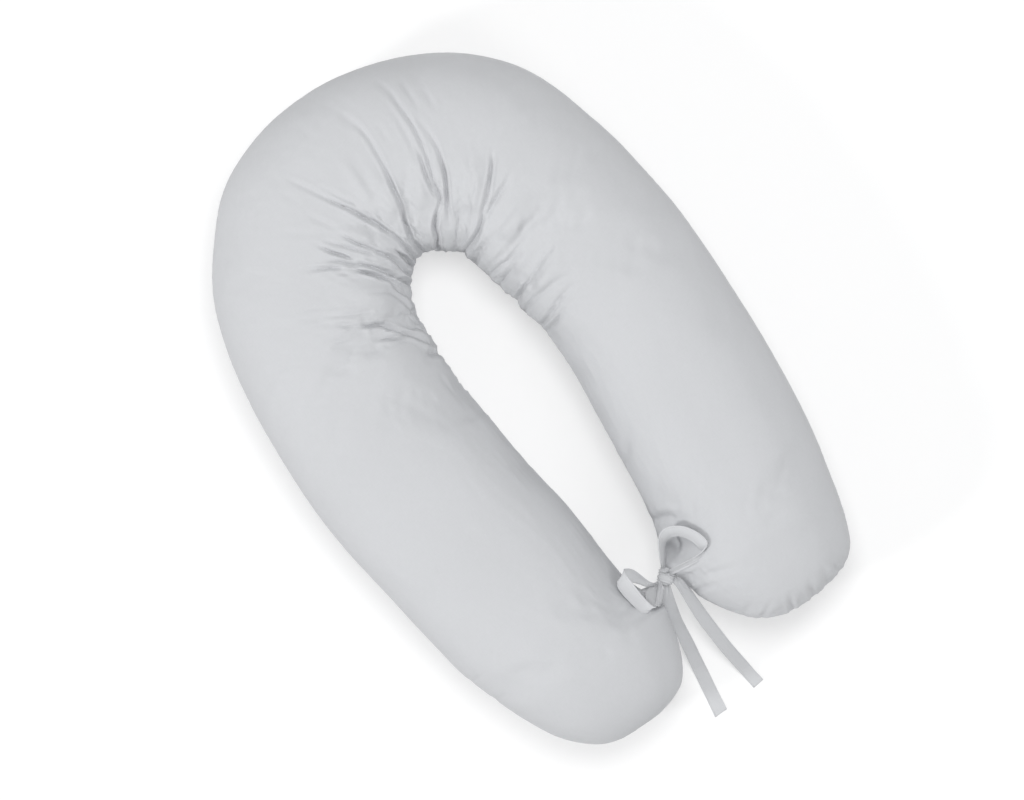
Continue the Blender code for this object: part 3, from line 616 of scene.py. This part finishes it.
def crease_path(points):
    """A smooth path through a crease's points, with the depth and half width at each step, in metres."""
    rows = np.array(points, float) * MM
    knots = arc_length(rows[:, PLACE])
    path = smooth(knots, rows, np.linspace(0, knots[-1], CREASE_STEPS * (len(rows) - 1) + 1))
    path[:, 1] += LENGTHWISE_SHIFT
    if points[-1][DEPTH] >= SEAM_DEPTH:
        onward = path[-1].copy()
        onward[PLACE] += (path[-1, PLACE] - path[-3, PLACE]) * 2
        path = np.vstack((path, onward))
    return path


def crease_moves(x, y, creases):
    """How the creases move the cloth: out along its normal, and sideways in plan towards the trough."""
    rise = np.zeros(x.size)
    pinch = np.zeros((x.size, 2))
    flat = np.column_stack((x.ravel(), y.ravel()))
    for points in creases:
        path = crease_path(points)
        line = path[:, PLACE]
        margin = CREASE_REACH * path[:, HALF_WIDTH].max()
        near = np.flatnonzero(np.all((flat > line.min(0) - margin) & (flat < line.max(0) + margin), axis=1))
        place, apart, offset = nearest_on(line, flat[near])
        steps = np.arange(len(path))
        depth = np.interp(place, steps, path[:, DEPTH])
        reach = apart / (CREASE_NARROWING * np.interp(place, steps, path[:, HALF_WIDTH]))
        trough = TROUGH_SHARE * np.exp(-(reach**TROUGH_POWER))
        skirt = (1 - TROUGH_SHARE) * bell(reach / SKIRT_WIDTH)
        rims = RIM_HEIGHT * np.exp(-((reach - RIM_PLACE) ** 2) / RIM_SPREAD)
        rise[near] += CREASE_GAIN * depth * (rims - trough - skirt)
        squeeze = PINCH * np.minimum(depth / FULL_PINCH_DEPTH, 1) * bell(reach)
        pinch[near] -= squeeze[:, None] * offset
    return rise.reshape(x.shape), pinch.reshape(*x.shape, 2)


def ridge_rise(x, y):
    """The soft ridges of cloth that stand between the creases of the bend."""
    rise = np.zeros(x.size)
    flat = np.column_stack((x.ravel(), y.ravel()))
    for *places, height, radius in BEND_RIDGES:
        crest = np.array(places, float).reshape(3, 2) * MM
        crest[:, 1] += LENGTHWISE_SHIFT
        knots = arc_length(crest)
        path = smooth(knots, crest, np.linspace(0, knots[-1], 2 * CREASE_STEPS))
        place, apart, _ = nearest_on(path, flat)
        share = place / (len(path) - 1)
        taper = ease(share / RIDGE_TAPERS[0]) * ease((1 - share) / RIDGE_TAPERS[1])
        rise += RIDGE_GAIN * height * MM * taper * bell(apart / (radius * MM))
    return rise.reshape(x.shape)


def ripples(along, lengths, seed):
    """An uneven row of ripples between -1 and 1 from a few wavelengths, the same each run."""
    chance = np.random.default_rng(seed)
    total = np.zeros_like(along)
    for length in lengths:
        drift = chance.uniform(0, 2 * math.pi, 3)
        swing = 1 + 0.5 * np.sin(2 * math.pi * along / (length * 5.3) + drift[0])
        bend = 1.3 * np.sin(2 * math.pi * along / (length * 3.1) + drift[1])
        total += swing * np.sin(2 * math.pi * along / length + bend + drift[2])
    return total / (1.5 * len(lengths))


def lumps(points, lengths, seed):
    """Soft unevenness of the filling, between about -1 and 1."""
    chance = np.random.default_rng(seed)
    total = np.zeros(points.shape[:-1])
    for length in lengths:
        for _ in range(3):
            direction = chance.normal(size=3)
            direction /= np.linalg.norm(direction)
            total += np.sin(points @ direction * 2 * math.pi / length + chance.uniform(0, 2 * math.pi))
    return total / (1.7 * len(lengths))


def in_bend(seam):
    """0 along the legs of the U, and up to 1 round its bend, at each place along a seam."""
    return ease((seam[:, 1] - BEND_START) / BEND_BLEND)


def seam_moves(grid, from_seam, share):
    """The groove of the seam, the small puckers beside it, and the fine gathers of the inner bend."""
    inner_seam = grid[:, np.abs(share - 0.5).argmin()]
    reach = from_seam[None, :]
    groove = -GROOVE_DEPTH * bell(reach / GROOVE_HALF_WIDTH)
    move = np.repeat(groove, grid.shape[0], axis=0)
    by_inner = np.abs(share - 0.5) < 0.25
    sides = ((grid[:, 0], ~by_inner), (inner_seam, by_inner))
    for seed, ((line, here), slant) in enumerate(zip(sides, PUCKER_SLANTS)):
        along = arc_length(line)[:, None]
        puckers = ripples(along + slant * reach, PUCKER_LENGTHS, 11 + seed)
        beads = ripples(along, BEAD_LENGTHS, 21 + seed)
        fade = np.exp(-reach / PUCKER_REACH)
        tight = bell(reach / BEAD_REACH)
        move += here[None, :] * (PUCKER_DEPTH * puckers * fade + BEAD_DEPTH * beads * tight)
    gathers = ripples(arc_length(inner_seam)[:, None] + GATHER_SLANT * reach, GATHER_LENGTHS, 31)
    bend = in_bend(inner_seam)[:, None]
    move += by_inner[None, :] * bend * GATHER_DEPTH * gathers * np.exp(-reach / GATHER_REACH)
    return move


def weave_places(grid, ribs):
    """Where each point lies on its flat panel, in metres, for a weave that runs straight across it."""
    middle = (ribs[:, INNER] + ribs[:, OUTER]) / 2
    across = ribs[:, OUTER] - ribs[:, INNER]
    across /= np.maximum(np.linalg.norm(across, axis=1, keepdims=True), 1e-6)
    step = np.linalg.norm(np.diff(grid, axis=1), axis=2)
    reached = np.concatenate((np.zeros((len(grid), 1)), np.cumsum(step, axis=1)), axis=1)
    half = reached[:, -1:] / 4
    folded = np.abs(reached - 2 * half) - half
    return middle[:, None, :] + folded[..., None] * across[:, None, :]


def slack_share(grid, inner):
    """How much of the extra cloth each point of the cover has: most beside the inner seam of the bend."""
    seam = grid[:, inner, :2]
    from_edge = np.linalg.norm(grid[..., :2] - seam[:, None], axis=2)
    return ease(1 - from_edge / CLOTH_GATHER_REACH) * in_bend(seam)[:, None] + CLOTH_SLACK_ELSEWHERE


def start_cloth(piece):
    """Makes cloth of the piece, under pressure from inside and without gravity."""
    cover = piece.modifiers.new("cover", "CLOTH")
    for name, value in CLOTH_SETTINGS.items():
        setattr(cover.settings, name, value)
    cover.settings.effector_weights.gravity = 0
    cover.collision_settings.use_collision = False
    cover.point_cache.frame_start = 1
    cover.point_cache.frame_end = CLOTH_FRAMES


def settled_points(piece):
    """Runs the cloth to its last frame and reads where the points are then."""
    scene = bpy.context.scene
    for frame_number in range(1, CLOTH_FRAMES + 1):
        scene.frame_set(frame_number)
    graph = bpy.context.evaluated_depsgraph_get()
    shape = piece.evaluated_get(graph).data
    points = np.empty(len(shape.vertices) * 3, np.float32)
    shape.vertices.foreach_get("co", points)
    scene.frame_set(1)
    return points.reshape(-1, 3)


def cloth_moves(full, share):
    """How far each point of the coarse cover moves as its filling presses it out."""
    count, ring = full.shape[:2]
    noise = np.random.default_rng(4).normal(0, CLOTH_UNEVENNESS, (count, ring))
    start = full + outward(full) * (noise - CLOTH_INSET)[..., None]
    points = np.vstack((start.reshape(-1, 3), start[[0, -1]].mean(1)))
    piece = mesh_piece("cover_run", points, tipped_faces(count, ring), None)
    from_inner = np.abs(share - 0.5)
    grip = bell(from_inner / INNER_SEAM_GRIP) + bell((0.5 - from_inner) / OUTER_SEAM_GRIP)
    held = np.repeat(grip[None, :], count, axis=0)
    held[[0, 1, -2, -1]] = 1
    taut = 1 - slack_share(full, from_inner.argmin())
    for name, weights in (("held", held), ("taut", taut)):
        group = piece.vertex_groups.new(name=name)
        for index, weight in enumerate(np.append(weights.ravel(), (1, 1))):
            group.add([index], float(weight), "REPLACE")
    start_cloth(piece)
    settled = settled_points(piece)
    bpy.data.objects.remove(piece)
    return settled[: count * ring].reshape(start.shape) - start


def cloth_folds(grid, share):
    """The small folds at every point: the moves of the coarse cover without their running mean."""
    last = grid.shape[0] - 1
    ribs = np.unique(np.append(np.arange(0, last, CLOTH_RIB_STEP), last))
    rings = np.arange(0, grid.shape[1], CLOTH_RING_STEP)
    moves = cloth_moves(grid[np.ix_(ribs, rings)], share[rings])
    count, ring = moves.shape[:2]
    reach = np.arange(-CLOTH_EVEN_REACH, CLOTH_EVEN_REACH + 1)
    spread = np.exp(-0.5 * (reach / CLOTH_EVEN_RIBS) ** 2)
    spread /= spread.sum()
    padded = np.pad(moves, ((CLOTH_EVEN_REACH, CLOTH_EVEN_REACH), (0, 0), (0, 0)), mode="edge")
    folds = moves - sum(padded[first : first + count] * part for first, part in enumerate(spread))
    size = np.linalg.norm(folds, axis=2, keepdims=True)
    folds *= CLOTH_CAP * np.tanh(size * CLOTH_GAIN / CLOTH_CAP) / np.maximum(size, 1e-9)
    from_inner = np.abs(share[rings] - 0.5)
    calm = ease((0.5 - from_inner) / CLOTH_CALM_OUTER) * ease(from_inner / CLOTH_CALM_INNER)
    folds *= calm[None, :, None]
    folds = np.concatenate((folds, folds[:, :1]), axis=1).transpose(1, 0, 2).reshape(ring + 1, -1)
    by_ring = smooth(np.append(rings, grid.shape[1]), folds, np.arange(grid.shape[1]))
    by_rib = by_ring.reshape(grid.shape[1], count, 3).transpose(1, 0, 2).reshape(count, -1)
    return smooth(ribs, by_rib, np.arange(grid.shape[0])).reshape(grid.shape)


def crease_parts(x, y, up, normal):
    """How far every crease and ridge lifts each point of the body, and how far it draws it in sideways."""
    on_top = ease((up + TOP_BLEND) / (2 * TOP_BLEND))[None, :]
    held = (1 - SEAM_HOLD * (1 - np.abs(up)) ** 2)[None, :]
    creases = BEND_CREASES + LEG_CREASES
    top_rise, top_pinch = crease_moves(x, y, creases + LOBE_PUCKERS)
    low_rise, low_pinch = crease_moves(2 * LOWER_PANEL_MIRROR - x, y, creases)
    low_share = (1 - on_top) * ease((y - LOW_CREASE_START) / LOW_CREASE_BLEND)
    low_pinch[..., 0] *= -1
    pinch = np.zeros_like(normal)
    pinch[..., :2] = on_top[..., None] * top_pinch + low_share[..., None] * low_pinch
    pinch -= normal * (pinch * normal).sum(2, keepdims=True)
    return held * (on_top * (top_rise + ridge_rise(x, y)) + low_share * low_rise), pinch


def make_body(material):
    knots, rows = rib_rows()
    total = knots[-2]
    rib_places = graded(RIB_SPACING, RIB_COUNT + 2, closed=False)
    ribs = smooth(knots, rows, rib_places[1:-1] * total)
    share = graded(RING_SPACING, RING_COUNT, closed=True)
    across, up, from_seam = rib_section(share)
    grid = plain_body(ribs, across, up)
    folds = cloth_folds(grid, share)
    normal = outward(grid)
    x, y = grid[..., 0], grid[..., 1]
    out, pinch = crease_parts(x, y, up, normal)
    out += seam_moves(grid, from_seam, share) + LUMP_HEIGHT * lumps(grid, LUMP_LENGTHS, 5)
    moved = grid + folds + normal * out[..., None] + pinch
    for *middle, radius, rise, at_seam in SWELLS:
        here = ease(1 - np.abs(up) / SEAM_SWELL_REACH) if at_seam else ease(up / TOP_SWELL_BLEND)
        moved[..., 2] += rise * MM * fade_round(x, y, middle, radius) * here[None, :]
    for *middle, radius, move_x, move_y in PULLS:
        moved[..., :2] += fade_round(x, y, middle, radius)[..., None] * np.array((move_x, move_y)) * MM
    moved[..., 2] = np.maximum(moved[..., 2], 0)
    tips = [np.r_[row[INNER], row[CROWN]] for row in (rows[1], rows[-2])]
    points = np.vstack((moved.reshape(-1, 3), tips))
    piece = mesh_piece("body", points, tipped_faces(*moved.shape[:2]), material)
    give_uv(piece, np.vstack((weave_places(grid, ribs).reshape(-1, 2), [tip[:2] for tip in tips])))
    return piece


# ---- the ties
def tape_edges(rows):
    """The two edges of a stretch of tape in even small steps, and how far along each step lies."""
    edges = np.array(rows, float) * MM
    edges[:, [1, 4]] += LENGTHWISE_SHIFT
    knots = arc_length((edges[:, EDGE_A] + edges[:, EDGE_B]) / 2)
    at = np.linspace(0, knots[-1], int(knots[-1] / TAPE_STEP) + 1)
    edges = smooth(knots, edges, at)
    return edges[:, EDGE_A], edges[:, EDGE_B], at


def tape_grid(rows, cup, share):
    """Points on the middle layer of the tape at each share of its width, and the normals there."""
    near, far, at = tape_edges(rows)
    wide = far - near
    width = np.linalg.norm(wide, axis=1)
    normal = np.cross(np.gradient((near + far) / 2, axis=0), wide)
    normal /= np.linalg.norm(normal, axis=1, keepdims=True)
    slack = np.clip(TAPE_WIDTH * PLEAT_SHARE - width, 0, None)
    off_floor = ease((np.minimum(near[:, 2], far[:, 2]) - FLAT_HEIGHT) / FLAT_BLEND)
    bow = cup * MM * off_floor[:, None] * 4 * share * (1 - share)
    waves = np.cos(2 * math.pi * PLEATS * share + at[:, None] / PLEAT_DRIFT)
    pleats = np.minimum(slack * PLEAT_GAIN, PLEAT_CAP)[:, None] * waves
    middle = near[:, None, :] * (1 - share[:, None]) + far[:, None, :] * share[:, None]
    return middle + normal[:, None, :] * (bow + pleats)[..., None], normal, at


def tape_strip(rows, cup):
    """One stretch of tape as a closed thin strip: points, faces and places for the weave."""
    share = (1 - np.cos(np.linspace(0, math.pi, TAPE_ACROSS))) / 2
    grid, normal, at = tape_grid(rows, cup, share)
    from_edge = np.minimum(share, 1 - share) * TAPE_WIDTH
    round_off = EDGE_THINNEST + (1 - EDGE_THINNEST) * ease(from_edge / EDGE_ROUND)
    pressed = 1 - STITCH_PRESS * bell((from_edge - STITCH_INSET) / STITCH_PRESS_WIDTH)
    pressed += EDGE_BEAD * bell((from_edge - EDGE_BEAD_PLACE) / EDGE_BEAD_WIDTH)
    hem = 1 + HEM_SWELL * ease((at - at[-1] + HEM_LENGTH) / HEM_BLEND)
    half = TAPE_THICKNESS / 2 * hem[:, None] * (round_off * pressed)[None, :]
    lift = normal[:, None, :] * half[..., None]
    rings = np.concatenate((grid + lift, (grid - lift)[:, ::-1]), axis=1)
    rings[..., 2] = np.maximum(rings[..., 2], 0)
    count, ring = rings.shape[:2]
    pairs = np.arange(TAPE_ACROSS - 1)
    cap = np.column_stack((pairs + 1, pairs, ring - 1 - pairs, ring - 2 - pairs))
    faces = np.vstack((band_faces(count, ring), cap, cap[:, ::-1] + (count - 1) * ring))
    across = np.concatenate((share, share[::-1])) * TAPE_WIDTH
    places = np.stack(np.broadcast_arrays(across[None, :], at[:, None]), axis=2)
    return rings.reshape(-1, 3), faces.tolist(), places.reshape(-1, 2)


def stitch_lines(stretches, cups):
    """The two stitched lines of every stretch of tape, on both faces: points and the edges between them."""
    shares = np.array((STITCH_INSET, TAPE_WIDTH - STITCH_INSET)) / TAPE_WIDTH
    points, edges, first = [], [], 0
    for rows, cup in zip(stretches, cups):
        grid, normal, _ = tape_grid(rows, cup, shares)
        for line in (0, 1):
            for face in (-1, 1):
                path = grid[:, line] + face * STITCH_HEIGHT * normal
                path[:, 2] = np.maximum(path[:, 2], THREAD_THICKNESS / 2)
                steps = np.arange(first, first + len(path) - 1)
                points.append(path)
                edges.append(np.column_stack((steps, steps + 1)))
                first += len(path)
    return np.vstack(points), np.vstack(edges)


def stitch_tree(material):
    """Geometry nodes that set an even row of short threads along every line of the mesh."""
    tree = bpy.data.node_groups.new("stitches", "GeometryNodeTree")
    tree.interface.new_socket("Lines", in_out="INPUT", socket_type="NodeSocketGeometry")
    for name in STITCH_SIZES:
        tree.interface.new_socket(name, in_out="INPUT", socket_type="NodeSocketFloat")
    tree.interface.new_socket("Stitches", in_out="OUTPUT", socket_type="NodeSocketGeometry")

    def node(kind, settings=None, **inputs):
        return add_node(tree, kind, settings, inputs)

    given = node("NodeGroupInput").outputs
    curve = node("GeometryNodeMeshToCurve", Mesh=given["Lines"])
    places = node("GeometryNodeCurveToPoints", {"mode": "LENGTH"}, Curve=curve.outputs[0],
                  Length=given["Spacing"])
    bead = node("GeometryNodeMeshUVSphere", Segments=THREAD_SIDES, Rings=THREAD_RINGS, Radius=0.5)
    thick = given["Thread thickness"]
    size = node("ShaderNodeCombineXYZ", X=thick, Y=thick, Z=given["Stitch length"])
    thread = node("GeometryNodeTransform", Geometry=bead.outputs["Mesh"], Scale=size.outputs[0])
    row = node("GeometryNodeInstanceOnPoints", Points=places.outputs["Points"],
               Instance=thread.outputs[0], Rotation=places.outputs["Rotation"])
    real = node("GeometryNodeRealizeInstances", Geometry=row.outputs[0])
    done = node("GeometryNodeSetMaterial", Geometry=real.outputs[0], Material=material)
    node("NodeGroupOutput", Stitches=done.outputs[0])
    return tree


def make_stitches(name, stretches, cups, tree):
    """The rows of stitches on one tie, as a plain mesh."""
    points, edges = stitch_lines(stretches, cups)
    mesh = bpy.data.meshes.new(name + "_lines")
    mesh.from_pydata(points.tolist(), edges.tolist(), [])
    lines = add_object(name + "_lines", mesh)
    sewing = lines.modifiers.new("sewing", "NODES")
    sewing.node_group = tree
    for item in tree.interface.items_tree:
        if item.name in STITCH_SIZES:
            sewing[item.identifier] = STITCH_SIZES[item.name]
    graph = bpy.context.evaluated_depsgraph_get()
    sewn = bpy.data.meshes.new_from_object(lines.evaluated_get(graph))
    sewn.name = name
    sewn.shade_smooth()
    bpy.data.objects.remove(lines)
    return add_object(name, sewn)


def waves_round(turn, waves):
    return sum(size * np.sin(count * turn + start) for size, count, start in waves)


def knot_part(profile, crease):
    """A creased, rounded band about the knot's axis, from its profile."""
    axis = np.array(KNOT_AXIS) / np.linalg.norm(KNOT_AXIS)
    level = np.cross((0, 0, 1), axis)
    rows = np.array(profile, float)
    knots = arc_length(rows)
    arc = np.linspace(0, knots[-1], KNOT_ROWS)
    rows = smooth(knots, rows, arc)
    turn = 2 * math.pi * np.arange(KNOT_SIDES) / KNOT_SIDES
    along, radius = rows[:, :1], np.maximum(rows[:, 1:], KNOT_THINNEST)
    folds = ripples(along + waves_round(turn, KNOT_SKEW), KNOT_CREASE_LENGTHS, 41)
    folds = crease * folds * ease((radius - KNOT_CREASE_START) / KNOT_CREASE_BLEND)
    radius = (radius + folds) * (1 + waves_round(turn, KNOT_OUT_OF_ROUND))
    offset = (KNOT_WIDENING * np.cos(turn)[:, None] * level
              + KNOT_FLATTENING * np.sin(turn)[:, None] * np.array((0, 0, 1)))
    points = (np.array(KNOT_MIDDLE) + along[..., None] * axis + radius[..., None] * offset) * MM
    points[..., 1] += LENGTHWISE_SHIFT
    last = (KNOT_ROWS - 1) * KNOT_SIDES
    faces = band_faces(KNOT_ROWS, KNOT_SIDES).tolist()
    faces += [list(range(KNOT_SIDES))[::-1], list(range(last, last + KNOT_SIDES))]
    places = np.stack(np.broadcast_arrays(arc[:, None], turn * KNOT_RADIUS), axis=2) * MM
    return points.reshape(-1, 3), faces, places.reshape(-1, 2)


def make_tie(name, stretches, cups, profile, crease, material):
    """One tie: its stretches of tape and its part of the knot."""
    parts = [tape_strip(rows, cup) for rows, cup in zip(stretches, cups)]
    parts.append(knot_part(profile, crease))
    points, faces, places = [], [], []
    for part_points, part_faces, part_places in parts:
        first = sum(len(group) for group in points)
        faces += [[corner + first for corner in face] for face in part_faces]
        points.append(part_points)
        places.append(part_places)
    piece = mesh_piece(name, np.vstack(points), faces, material)
    give_uv(piece, np.vstack(places))
    face_out(piece)
    return piece


def face_out(piece):
    """Turns each closed part's faces outwards."""
    mesh = bmesh.new()
    mesh.from_mesh(piece.data)
    bmesh.ops.recalc_face_normals(mesh, faces=mesh.faces)
    mesh.to_mesh(piece.data)
    mesh.free()
    piece.data.shade_smooth()


# ---- finishes
class Level:
    """A value that varies over a finish. An expression on it adds its Math nodes."""

    def __init__(self, finish, socket):
        self.finish = finish
        self.socket = socket

    def math(self, operation, *terms):
        node = self.finish.node("ShaderNodeMath", {"operation": operation}, dict(enumerate((self, *terms))))
        return Level(self.finish, node.outputs[0])

    def __add__(self, other):
        return self.math("ADD", other)

    def __sub__(self, other):
        return self.math("SUBTRACT", other)

    def __rsub__(self, other):
        return self * -1 + other

    def __mul__(self, other):
        return self.math("MULTIPLY", other)

    def __truediv__(self, other):
        return self.math("DIVIDE", other)

    __radd__ = __add__
    __rmul__ = __mul__


class Finish:
    """One material, and the one way that nodes are added to it."""

    def __init__(self, name):
        self.material = bpy.data.materials.new(name)
        self.material.use_nodes = True
        self.tree = self.material.node_tree
        self.shader = self.tree.nodes["Principled BSDF"]

    def node(self, kind, settings=None, inputs=None):
        return add_node(self.tree, kind, settings, inputs)

    def noise(self, place, scale, detail, stretch=(1, 1, 1)):
        mapping = self.node("ShaderNodeMapping", {}, {"Vector": place, "Scale": stretch})
        inputs = {"Vector": mapping.outputs[0], "Scale": scale, "Detail": detail}
        inputs["Roughness"] = NOISE_ROUGHNESS
        return Level(self, self.node("ShaderNodeTexNoise", {}, inputs).outputs[0])

    def surface(self, values):
        """Sets the shader's inputs, each to a value that is the same all over or one that varies."""
        for name, value in values.items():
            feed(self.tree, self.shader.inputs[name], value)

    def cloth(self, tone, greys, height):
        """Varies the finish from its darker to its lighter grey, and raises it by a height in metres."""
        light, dark = greys
        shades = {0: tone, 6: (*dark, 1), 7: (*light, 1)}
        mixed = self.node("ShaderNodeMix", {"data_type": "RGBA"}, shades)
        relief = self.node("ShaderNodeBump", {}, {"Height": height, "Distance": 1.0})
        self.surface({"Base Color": mixed.outputs[2], "Normal": relief.outputs["Normal"]})


def woven(finish, flat, pitch):
    """Height of a plain weave, 0 to 1, with threads the given distance apart."""
    parts = finish.node("ShaderNodeSeparateXYZ", {}, {"Vector": flat}).outputs
    weft, warp = (Level(finish, parts[axis]) / pitch for axis in ("X", "Y"))
    column, line = weft.math("FLOOR"), warp.math("FLOOR")
    over = (column + line).math("FLOORED_MODULO", 2.0)
    warp_round = ((weft - column) * math.pi).math("SINE")
    weft_round = ((warp - line) * math.pi).math("SINE")
    return over * warp_round + (1 - over) * weft_round


def cotton_finish(name, greys):
    """Plain-woven cotton: threads, slubs that run with them, soft crumple and a faintly uneven grey."""
    finish = Finish(name)
    flat = finish.node("ShaderNodeUVMap", {"uv_map": "weave"}).outputs["UV"]
    place = finish.node("ShaderNodeTexCoord").outputs["Object"]
    threads = woven(finish, flat, COTTON_PITCH)
    slubs = finish.noise(flat, SLUB_SCALE, 3, (1, 9, 1)) + finish.noise(flat, SLUB_SCALE, 3, (9, 1, 1)) - 1
    crumple = finish.noise(place, CRUMPLE_SCALE, 3)
    cloudy = finish.noise(place, CLOUD_SCALE, 2)
    tone = (0.25 * threads + 0.9 * slubs + 0.8 * cloudy).math("MINIMUM", 1.0)
    finish.cloth(tone, greys, THREAD_HEIGHT * threads + SLUB_HEIGHT * slubs + CRUMPLE_HEIGHT * crumple)
    finish.surface({
        "Roughness": 0.9 - 0.12 * threads,
        "Sheen Weight": 0.08,
        "Sheen Roughness": 0.5,
        "Specular IOR Level": 0.25,
    })
    return finish.material


def thread_finish(name, greys):
    """Sewing thread: a soft sheen and fine strands."""
    finish = Finish(name)
    strands = finish.noise(finish.node("ShaderNodeTexCoord").outputs["Object"], STRAND_SCALE, 2)
    finish.cloth(strands, greys, THREAD_HEIGHT * strands)
    finish.surface({"Roughness": 0.6})
    return finish.material


# ---- the pieces
body = make_body(cotton_finish("grey_cotton", BODY_GREYS))
tape_cotton = cotton_finish("grey_tape", TAPE_GREYS)
sewing_tree = stitch_tree(thread_finish("grey_thread", THREAD_GREYS))
tapes, sewn = [], []
for node, stretches, cups, profile, crease in TIES:
    tapes.append(make_tie(node + "_tape", stretches, cups, profile, crease, tape_cotton))
for node, stretches, cups, _, _ in TIES:
    sewn.append(make_stitches(node + "_stitches", stretches, cups, sewing_tree))
for (node, *_), piece, stitches in zip(TIES, tapes, sewn):
    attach(piece, "root")
    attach(stitches, "root")
    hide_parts(node)
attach(body, "root")
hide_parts("pillow")


# ---- the room
def make_floor():
    paint = Finish("pale_floor")
    paint.surface({
        "Base Color": (FLOOR_GREY, FLOOR_GREY, FLOOR_GREY, 1),
        "Roughness": 0.85,
        "Emission Color": (1, 1, 1, 1),
        "Emission Strength": FLOOR_GLOW,
    })
    size = FLOOR_HALF_SIZE
    corners = [(-size, -size, 0), (size, -size, 0), (size, size, 0), (-size, size, 0)]
    floor = mesh_piece("floor", corners, [(0, 1, 2, 3)], paint.material)


def make_lights():
    """A pale room, and round softboxes aimed at the middle of the pillow."""
    world = bpy.data.worlds.new("studio")
    world.use_nodes = True
    background = world.node_tree.nodes["Background"]
    background.inputs["Color"].default_value = (*WORLD_COLOUR, 1)
    background.inputs["Strength"].default_value = WORLD_STRENGTH
    bpy.context.scene.world = world
    for name, place, size, power in SOFTBOXES:
        lamp = bpy.data.lights.new(name, "AREA")
        lamp.shape = "DISK"
        lamp.size = size
        lamp.energy = power
        light = add_object(name, lamp)
        light.location = place
        light.rotation_euler = (Vector(AIM) - Vector(place)).to_track_quat("-Z", "Y").to_euler()


def make_camera():
    """Straight overhead, through a long lens."""
    data = bpy.data.cameras.new("camera")
    data.sensor_width = SENSOR_WIDTH
    data.lens = SENSOR_WIDTH * CAMERA_DISTANCE / VIEW_WIDTH
    camera = add_object("camera", data)
    cosine, sine = math.cos(CAMERA_TURN), math.sin(CAMERA_TURN)
    camera.matrix_world = Matrix((
        (cosine, sine, 0, CAMERA_PLACE[0]),
        (-sine, cosine, 0, CAMERA_PLACE[1]),
        (0, 0, 1, FOCUS_HEIGHT + CAMERA_DISTANCE),
        (0, 0, 0, 1),
    ))
    bpy.context.scene.camera = camera


make_floor()
make_lights()
make_camera()
bpy.context.scene.view_settings.view_transform = "Standard"
